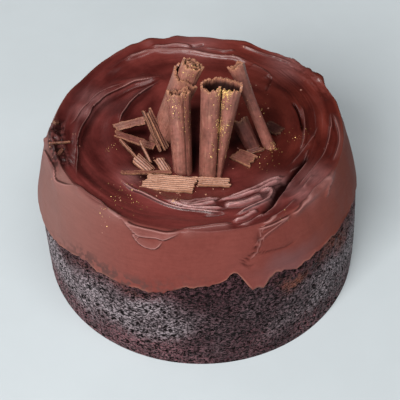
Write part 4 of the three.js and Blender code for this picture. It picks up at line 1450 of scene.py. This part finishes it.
def chocolate_material():
    """Dark or pale by tone, with dusty streaks, painted shade in grooves and rolls, and a pale broken edge.
    """
    material, tree, shader = new_material("shaved_chocolate")
    dark = mottle(tree, colour(0.098, 0.0245, 0.0200), colour(0.218, 0.0660, 0.0540), 150.0, 600.0, 0.35)
    pale = mottle(tree, colour(0.450, 0.2100, 0.1350), colour(0.680, 0.3600, 0.2450), 160.0, 900.0, 0.5)
    base = mix_node(tree, attribute(tree, "tone"), dark["Color"], pale["Color"])
    sheet = {"Vector": attribute(tree, "grain", "Vector"), "Scale": STREAK_STRETCH}
    streaks = noise_node(tree, new_node(tree, "ShaderNodeMapping", sheet).outputs["Vector"], 1.0, 3.0)
    dusty = ease_node(tree, streaks, 0.52, 0.78, 0.0, DUSTIEST)
    base = mix_node(tree, dusty, base, pale["Color"])
    # Painted shade in the fine grooves between the streaks.
    base = mix_node(tree, ease_node(tree, streaks, 0.42, 0.27, 0.0, 0.65), base, GROOVE_SHADE_TINT)
    grain = noise_node(tree, object_place(tree), 1400.0, 3.0)
    broken = times(tree, attribute(tree, "edge"), ease_node(tree, grain, 0.35, 0.60))
    base = mix_node(tree, broken, base, BROKEN_TINT)
    # Painted shade inside rolls and in and under the flakes; dimmed pieces are darker all over.
    base = mix_node(tree, attribute(tree, "shade"), base, SHADE_TINT)
    tree.links.new(base, shader["Base Color"])
    tree.links.new(ease_node(tree, dusty, 0.0, DUSTIEST, 0.40, 0.58), shader["Roughness"])
    relief = plus(tree, times(tree, grain, 0.35), streaks)
    tree.links.new(bump(tree, relief, 0.22 * MM, 0.8), shader["Normal"])
    shader["Specular IOR Level"].default_value = 0.35
    return material


CHOCOLATE = chocolate_material()
print("chocolate finish:", CHOCOLATE.name)

# %% [markdown]
# ## Scrolls
#
# A scroll is a sheet rolled up by the scraper. Its section is drawn like a pen that turns steadily while its
# bend radius changes, then it is raised along the scroll's axis. The upper end broke off the block, so it is
# jagged, and its thin teeth curl a little. One scroll's last turn sits lower, so the inner roll stands out.

# %% List the scrolls
SCROLLS = {
    # foot (x, y) and middle of the upper end, turns of the sheet, bend radius at its first and last edge (of
    # a double roll, at both edges and half way), the angle at which its section begins, and what is special
    "scroll_front_left": dict(
        foot=(-9.2, -29.2), top=(-11.2, -12.3, 120), turns=1.55, bend=(6.2, 2.9), seam=35,
        foot_scale=0.82, tone=0.14),
    "scroll_front_right": dict(
        foot=(7.6, -29.6), top=(9.6, -19.2, 130), turns=1.6, bend=(2.8, 9.7), double=True, seam=0,
        foot_scale=0.9, right_taper=0.3, tone=0.13),
    "scroll_back_left": dict(
        foot=(-22.5, -4.5), top=(-5, 1.5, 127), turns=2.8, bend=(1.6, 7.6), seam=117,
        foot_scale=0.8, wrap_drop=8, tone=0.2),
    "scroll_right": dict(
        foot=(36.4, -11), top=(17.2, 2, 125), turns=1.25, bend=(4.2, 2), seam=300,
        foot_scale=0.76, waist=0.25, tone=0.10),
    "scroll_right_small": dict(
        foot=(28, -11.5), top=(19.4, -4.6, 96), turns=0.6, bend=(4.2, 3.8), seam=290,
        foot_scale=0.8, tone=0.02, dim=0.4),
}
print("scrolls:", len(SCROLLS))

# %% Draw the section of a scroll
SHEET_STEP = 0.32  # spacing of points across the sheet


def rolled_line(turns, bend, seam, double):
    """Middle line of the section, its inward normals and the length of sheet used up at each point."""
    total = turns * FULL_TURN
    steps = int(total * max(bend) / SHEET_STEP)
    middle = (np.arange(steps) + 0.5) / steps
    share = np.abs(np.sin(np.pi * middle)) ** 3 if double else middle
    stride = (bend[0] + (bend[1] - bend[0]) * share) * total / steps
    start = math.radians(seam) + (np.pi - 0.5 * total if double else 0.0)
    way = start + total * middle
    moves = stride[:, None] * np.stack([np.cos(way), np.sin(way)], axis=-1)
    line = np.vstack([[0.0, 0.0], np.cumsum(moves, axis=0)])
    line -= 0.5 * (line.min(axis=0) + line.max(axis=0))
    heading = start + total * np.linspace(0.0, 1.0, steps + 1)
    inward = np.stack([-np.sin(heading), np.cos(heading)], axis=-1)
    return line, inward, np.concatenate([[0.0], np.cumsum(stride)])


def jagged(place, draw, step, rise):
    """Random teeth along a broken edge: values at even steps joined by straight lines."""
    count = int(np.ptp(place) / step) + 2
    knots = draw.uniform(-rise, rise, count)
    return np.interp(place, place.min() + step * np.arange(count), knots)


def turn_to(axis):
    """Rotation matrix that takes +Z to an axis by the shortest way."""
    return np.array(Vector((0.0, 0.0, 1.0)).rotation_difference(Vector(axis)).to_matrix())


print("points across a sheet stand", SHEET_STEP, "mm apart")

# %% Shape a scroll
SHEET_THICKNESS = 1.1
SCROLL_SINK = 2.0
WRAP_START = 0.6  # share of the sheet at which a lowered wrap begins
LENGTH_STEP = 0.5  # spacing of points along the scroll
TEETH = ((3.5, 0.9), (1.1, 0.8), (0.5, 0.4))  # spacing and height of the broken end's teeth
FRILL_DEPTH = 3.0
FRILL_REACH = 0.5
FRILL_STEP = 1.0
PALE_EDGE = 1.1  # depth of the pale broken edge
INSIDE_SHADE = 0.95
SCROLL_GRAIN_GAP = 7.0  # keeps the streaks of two scrolls apart


def scroll_mesh(name, seed, foot, top, turns, bend, seam, tone, foot_scale=1.0, double=False, waist=0.0,
                wrap_drop=0.0, right_taper=1.0, dim=0.0):
    """One scroll between its foot on the icing and the middle of its upper end."""
    draw = np.random.default_rng(seed)
    line, inward, used = rolled_line(turns, bend, seam, double)
    base = np.array([*foot, float(icing_top(np.hypot(*foot), np.arctan2(foot[1], foot[0]))) - SCROLL_SINK])
    axis = np.array(top) - base
    length = float(np.linalg.norm(axis))
    share = np.linspace(0.0, 1.0, int(length / LENGTH_STEP))
    scale = (foot_scale + (1.0 - foot_scale) * share) * (1.0 - waist * np.sin(np.pi * share))
    narrow = right_taper + (1.0 - right_taper) * share
    wrapped = ease(np.linspace(0.0, 1.0, len(line)), WRAP_START, 1.0)
    teeth = sum(jagged(used, draw, step, rise) for step, rise in TEETH)
    height = share * (length + (teeth - wrap_drop * wrapped)[:, None])
    below_top = (1.0 - share) * length
    frill = jagged(used, draw, FRILL_STEP, FRILL_REACH)[:, None] * np.exp(-below_top / FRILL_DEPTH)
    turn = turn_to(axis / length)
    def face(side):
        flat = line[:, None, :] + (side + frill)[..., None] * inward[:, None, :]
        flat = flat * scale[None, :, None]
        flat[..., 0] *= np.where(flat[..., 0] > 0.0, narrow, 1.0)
        local = np.concatenate([flat, height[..., None]], axis=-1)
        return local @ turn.T + base
    across = np.broadcast_to(used[:, None], height.shape)
    grain = np.stack([across, height, np.full_like(height, SCROLL_GRAIN_GAP * seed)], axis=-1)
    edge = np.broadcast_to(np.exp(-below_top / PALE_EDGE), height.shape)
    inside = np.broadcast_to(INSIDE_SHADE * ease(below_top, 0.3, 3.0), height.shape)
    half = 0.5 * SHEET_THICKNESS
    return slab_mesh(name, face(-half), face(half), grain, tone, edge, np.full_like(height, dim), inside)


print("sheets are", SHEET_THICKNESS, "mm thick")

# %% Roll the scrolls
SHARP_ANGLE = 50.0  # degrees


def finish_chocolate(piece, node, sizes):
    """Scrape a piece, give it its finish and let it stand for its solid, if it has one."""
    faces = apply_tree(piece, SCRAPES, sizes)
    piece.data.shade_smooth()
    piece.data.set_sharp_from_angle(angle=math.radians(SHARP_ANGLE))
    dress(piece, CHOCOLATE, node)
    print(piece.name, "faces:", faces)


for seed, (node, shape) in enumerate(SCROLLS.items(), start=1):
    roll = new_object(node.replace("scroll", "roll"), scroll_mesh(node, seed, **shape))
    finish_chocolate(roll, node, {**SCROLL_MARKS, "Seed": 3.0 * seed})

# %% [markdown]
# ## Flakes
#
# A flake is a short broken stretch of the same scraping: a bundle of fine ridges side by side, each ending a
# little further than its neighbour. A grid of points along and across the flake carries the ridges on its
# upper face; the frame of three directions from one end to the other sets it down where its solid lies.

# %% List the flakes
FLAKES = {
    # both ends (x, y, lift above the icing), size, and the colour from dark to pale
    "flake_front_large": dict(
        start=(-28.5, -40.2, 0.9), end=(-3, -41.4, 1), width=10.5, thick=1.5, skew=0.35, tone=1.0),
    "flake_front_small": dict(
        start=(-1.9, -38.4, 1), end=(14.2, -39.4, 0.9), width=5.4, thick=1.2, skew=-0.3, tone=0.8),
    "flake_left_long": dict(
        start=(-39.4, -34.6, 0.8), end=(-15, -31.4, 1.1), width=1.8, thick=1.4, tone=0.1, ridge=0.1),
    "flake_left_upper": dict(
        start=(-45.5, -0.5, 1.4), end=(-30, 6, 3.6), width=4, thick=1.4, roll=40, tone=0.2, ridge=0.12),
    "flake_left_lower": dict(
        start=(-45, -4.2, 1), end=(-24.2, -12.4, 1.4), width=4, thick=1.2, roll=12, tone=0.06, ridge=0.12,
        dim=0.15),
    "flake_left_stick": dict(
        start=(-21.2, -13.8, 0.8), end=(-29.8, -4.4, 18.8), width=1.7, thick=1.2, roll=15, tone=0.42),
    "flake_left_plank": dict(
        start=(-18.2, -12.8, 0.8), end=(-27, -4.6, 18.5), width=3.6, thick=1.3, roll=15, tone=0.3,
        spacing=1.8),
    "flake_left_sliver": dict(
        start=(-42.5, -8.5, 0.7), end=(-33.6, -20.5, 0.8), width=1.6, thick=1.1, tone=0.45),
    "flake_left_splinter": dict(
        start=(-31.5, -13.5, 6), end=(-26.2, -23.6, 1.2), width=1.5, thick=1.1, tone=0.5),
    "flake_left_ridged": dict(
        start=(-33, -23.4, 3.6), end=(-25.4, -30, 0.9), width=6, thick=1.2, bow=1.2, tone=0.5),
    "flake_left_curled": dict(
        start=(-21, -24.6, 4.2), end=(-17, -30, 0.9), width=5, thick=1.2, bow=1.2, tone=0.5),
    "flake_front_sliver": dict(
        start=(10.6, -27.8, 0.7), end=(5.6, -35.2, 0.8), width=1, thick=1, tone=0.8),
    "flake_right_square": dict(
        start=(17.6, -17.4, 1.3), end=(26.2, -23.4, 1), width=8, thick=1.5, roll=6, tone=0.12, ridge=0.06),
    "flake_right_small": dict(
        start=(24.2, -16, 0.8), end=(31, -13.2, 0.8), width=3.8, thick=1.2, tone=0.05, dim=0.4),
    "flake_right_dark": dict(
        start=(35, 4.6, 0.9), end=(42, -0.8, 0.9), width=7.5, thick=1.4, roll=-6, tone=0.0, ridge=0.06,
        dim=0.8),
}
print("flakes:", len(FLAKES))

# %% Shape a flake
RIDGE_SPACING = 1.35
RIDGE_DEPTH = 0.42
RIDGE_MIDDLE = 0.65  # share of a ridge's height that lies at the face of the solid
FLAKE_STEP = 0.2
FLAKE_EDGE = 0.5  # depth of the pale broken edge
FINE_TEETH = (0.4, 0.35)  # spacing and height
SIDE_TEETH = (2.2, 0.35)
UNDERSIDE_SHADE = 0.85
FLAKE_DRAWS = 100  # added to a flake's seed, so that no flake breaks like a scroll
FLAKE_GRAIN_GAP = 11.0


def on_icing(x, y, lift):
    """A point a little above the icing."""
    return np.array([x, y, float(icing_top(np.hypot(x, y), np.arctan2(y, x))) + lift])


def flake_mesh(name, seed, start, end, width, thick, tone, skew=0.0, bow=0.0, roll=0.0, ridge=RIDGE_DEPTH,
               spacing=RIDGE_SPACING, dim=0.0):
    """One flake between two places on the icing."""
    draw = np.random.default_rng(FLAKE_DRAWS + seed)
    first, last = on_icing(*start), on_icing(*end)
    length = float(np.linalg.norm(last - first))
    ahead = (last - first) / length
    side = np.cross((0.0, 0.0, 1.0), ahead)
    side /= np.linalg.norm(side)
    face_way = np.cross(ahead, side)
    tip = math.radians(roll)
    side, face_way = (math.cos(tip) * side + math.sin(tip) * face_way,
                      math.cos(tip) * face_way - math.sin(tip) * side)
    along = np.linspace(-0.5, 0.5, max(12, int(length / FLAKE_STEP)))[:, None]
    across = np.linspace(-0.5, 0.5, max(9, int(width / FLAKE_STEP)))[None, :]
    def ragged_end():
        return jagged(across * width, draw, spacing, 1.0) + jagged(across * width, draw, *FINE_TEETH)
    def ragged_side():
        return jagged(along * length, draw, *SIDE_TEETH)
    reach = np.where(along < 0, ragged_end(), ragged_end()) * (2.0 * np.abs(along)) ** 3
    spread = np.where(across < 0, ragged_side(), ragged_side()) * (2.0 * np.abs(across)) ** 3
    x = along * length + reach + skew * across * width
    y = across * width + np.minimum(1.0, width / 4.0) * spread
    groove = np.abs(np.cos(np.pi * (y + 0.15 * np.sin(0.5 * x + seed)) / spacing)) ** 0.8
    bend = -bow * 4.0 * across ** 2 + 0.25 * np.sin(2.2 * along + seed)
    middle = 0.5 * (first + last)
    def face(height):
        return middle + x[..., None] * ahead + y[..., None] * side + (height + bend)[..., None] * face_way
    grain = np.stack([y, x, np.full_like(x, FLAKE_GRAIN_GAP * seed)], axis=-1)
    from_end = (0.5 - np.abs(along)) * length
    from_side = (0.5 - np.abs(across)) * width
    edge = np.exp(-np.minimum(from_end, 2.0 * from_side) / FLAKE_EDGE)
    # Painted shade in the grooves between ridges; dim darkens the whole face.
    shade = np.maximum(np.clip(2.2 * ridge, 0.0, 0.92) * (1.0 - groove) ** 1.1, dim)
    upper = face(0.5 * thick + ridge * (groove - RIDGE_MIDDLE))
    lower = face(np.full_like(x, -0.5 * thick))
    return slab_mesh(name, upper, lower, grain, tone, edge, shade, np.full_like(x, UNDERSIDE_SHADE))


print("ridges stand", RIDGE_SPACING, "mm apart")

# %% Break the flakes
for seed, (node, shape) in enumerate(FLAKES.items(), start=1):
    shaving = new_object(node.replace("flake", "shaving"), flake_mesh(node, seed, **shape))
    finish_chocolate(shaving, node, {**FLAKE_MARKS, "Seed": 5.0 * seed})

# %% [markdown]
# ## Bits on the rim
#
# Three small bits of chocolate stick to the torn rim on the left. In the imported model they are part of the
# icing's solid; here they are flakes of their own, so that they get the colour of chocolate.

# %% Stick bits to the rim
RIM_BITS = {
    "rim_stick": dict(
        start=(-78, -15.4, 1.0), end=(-68.5, -13, 1.2), width=1.1, thick=1.0, tone=0.1),
    "rim_chip": dict(
        start=(-72.7, -24, 0.6), end=(-70.7, -19.8, 0.8), width=1.7, thick=1.2, tone=0.05, dim=0.3),
    "rim_crumb": dict(
        start=(-77.9, 0.7, 0.8), end=(-75.7, 2, 0.8), width=1.8, thick=1.6, tone=0.05, dim=0.5),
}
FIRST_BIT_SEED = 31

for seed, (name, shape) in enumerate(RIM_BITS.items(), start=FIRST_BIT_SEED):
    bit = new_object(name, flake_mesh(name, seed, **shape))
    finish_chocolate(bit, None, {**FLAKE_MARKS, "Seed": 5.0 * seed})

# %% [markdown]
# ## Gold dust and crumbs
#
# Edible gold dust was sprinkled over the scrolls and in front of them, and the scraping left fine crumbs
# round the pile and on the rim. Both are scattered by one Geometry Nodes tree: it spreads points over a
# surface by a stored density, sets a small lump on each, few of them large, at a random turn, and makes one
# mesh. The density fades away from a few spots.

# %% List the spots
GOLD_SPOTS = [
    # x, y, z, width, strength
    (-35.6, -50.8, 84, 7, 0.8), (-30, -56, 84, 6, 0.7), (-12.6, -54.8, 86.5, 2.5, 6.0),
    (-47, -14.4, 86, 2.5, 2.0), (36.8, -12.3, 84, 3, 8.0), (50.4, -4.9, 84.5, 5, 1.0),
    (-44.7, -61.6, 88.5, 5, 1.0), (39, -64, 88.5, 3, 0.8), (32, -24, 83, 7, 0.6), (10.5, -26, 131, 2.6, 60.0),
    (13.5, -25, 131, 2.5, 10.0), (10, -27, 124, 3, 6.0), (10, -27.5, 115, 3.5, 8.0),
    (9.5, -28, 110, 2.2, 40.0), (9.5, -28, 105, 2.0, 16.0), (11, -29, 100, 5, 3.0), (-11, -19, 118, 6, 2.0),
    (-10, -23, 108, 6, 1.2), (-4, -3, 126, 6, 3.0), (26, -7, 106, 6, 1.0), (33, 20, 85, 8, 0.5),
]
CRUMB_SPOTS = [
    (-26, -26, 84, 11, 1.0), (-15, -46, 85, 9, 1.2), (8, -36, 84, 10, 0.6), (25, -20, 84, 9, 0.8),
    (-72, -10, 87, 8, 1.6), (-70, -26, 85, 7, 1.0), (58, 38, 88, 11, 0.6), (68, -15, 87, 7, 0.8),
    (33, 31, 85, 9, 0.7), (20, 75, 89, 14, 0.3), (-40, -70, 80, 12, 0.2),
]
print("spots:", len(GOLD_SPOTS) + len(CRUMB_SPOTS))

# %% Build the scattering tree
SPRINKLE_INPUTS = {
    "Geometry": (GEOMETRY, None), "Each Square Millimetre": (FLOAT, 0.1), "Smallest": (FLOAT, 0.2),
    "Largest": (FLOAT, 0.5), "Flatness": (FLOAT, 0.5), "Seed": ("NodeSocketInt", 1),
    "Material": ("NodeSocketMaterial", None),
}
RARITY = 3.0  # the power that makes large lumps rare
LUMP_WIDTH = 0.7  # of its length
MOST_TURN = (0.5, 0.5, 3.1)  # radians either way, about the surface's directions and its normal


def build_scatter():
    """Lumps of random size and turn on points spread by the stored density, as one mesh."""
    tree, entry, end = new_tree("sprinkle", "GeometryNodeTree", SPRINKLE_INPUTS, {"Geometry": GEOMETRY})
    seed = entry["Seed"]
    density = times(tree, entry["Each Square Millimetre"], MILLIMETRES ** 2, named_value(tree, "sprinkle"))
    sockets = {"Mesh": entry["Geometry"], "Density": density, "Seed": seed}
    points = new_node(tree, "GeometryNodeDistributePointsOnFaces", sockets)
    chance = new_node(tree, "FunctionNodeRandomValue", {"Seed": seed}, data_type="FLOAT").outputs[1]
    rare = math_node(tree, "POWER", chance, RARITY)
    sockets = {"Value": rare, "To Min": entry["Smallest"], "To Max": entry["Largest"]}
    length = times(tree, new_node(tree, "ShaderNodeMapRange", sockets).outputs["Result"], MM)
    sockets = {"X": length, "Y": times(tree, length, LUMP_WIDTH), "Z": times(tree, length, entry["Flatness"])}
    scale = new_node(tree, "ShaderNodeCombineXYZ", sockets).outputs[0]
    sockets = {"Min": [-most for most in MOST_TURN], "Max": MOST_TURN, "Seed": seed}
    spin = new_node(tree, "FunctionNodeRandomValue", sockets, data_type="FLOAT_VECTOR").outputs[0]
    sockets = {"Rotation": points.outputs["Rotation"], "Rotate By": spin}
    turn = new_node(tree, "FunctionNodeRotateRotation", sockets, rotation_space="LOCAL").outputs[0]
    lump = new_node(tree, "GeometryNodeMeshIcoSphere", {"Radius": 1.0, "Subdivisions": 1}).outputs["Mesh"]
    sockets = {"Points": points.outputs["Points"], "Instance": lump, "Rotation": turn, "Scale": scale}
    placed = new_node(tree, "GeometryNodeInstanceOnPoints", sockets)
    real = new_node(tree, "GeometryNodeRealizeInstances", {"Geometry": placed.outputs["Instances"]})
    sockets = {"Geometry": real.outputs["Geometry"], "Material": entry["Material"]}
    done = new_node(tree, "GeometryNodeSetMaterial", sockets)
    tree.links.new(done.outputs["Geometry"], end["Geometry"])
    return tree


SPRINKLE = build_scatter()
print("scattering tree:", SPRINKLE.name)

# %% Scatter the dust and the crumbs
GOLD_SIZES = {"Each Square Millimetre": 0.3, "Smallest": 0.09, "Largest": 0.42, "Flatness": 0.35, "Seed": 7}
BIT_SIZES = {"Each Square Millimetre": 0.06, "Smallest": 0.2, "Largest": 0.9, "Flatness": 0.7, "Seed": 8}


def sprinkled_copy(name, pieces, spots):
    """One object joined from copies of some pieces, with the density of sprinkles stored at its points."""
    copies = [new_object(name, piece.data.copy()) for piece in pieces]
    with bpy.context.temp_override(active_object=copies[0], selected_editable_objects=copies):
        bpy.ops.object.join()
    mesh = copies[0].data
    places = np.empty(3 * len(mesh.vertices))
    mesh.vertices.foreach_get("co", places)
    places = places.reshape(-1, 3) / MM
    density = np.zeros(len(places))
    for x, y, z, width, strength in spots:
        density += strength * bell(np.linalg.norm(places - (x, y, z), axis=1), width)
    store(mesh, "sprinkle", density)
    return copies[0]


def gold_material():
    """Bright, half metallic dust."""
    material, tree, shader = new_material("gold_dust")
    shader["Base Color"].default_value = colour(0.86, 0.60, 0.22)
    shader["Metallic"].default_value = 0.6
    shader["Roughness"].default_value = 0.35
    return material


rolls = [bpy.data.objects[node.replace("scroll", "roll")] for node in SCROLLS]
gold = sprinkled_copy("gold_dust", [icing] + rolls, GOLD_SPOTS)
specks = apply_tree(gold, SPRINKLE, {**GOLD_SIZES, "Material": gold_material()})
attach(gold, "root")
crumbs = sprinkled_copy("fine_crumbs", [icing], CRUMB_SPOTS)
bits = apply_tree(crumbs, SPRINKLE, {**BIT_SIZES, "Material": CHOCOLATE})
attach(crumbs, "root")
print("gold faces:", specks, "crumb faces:", bits)
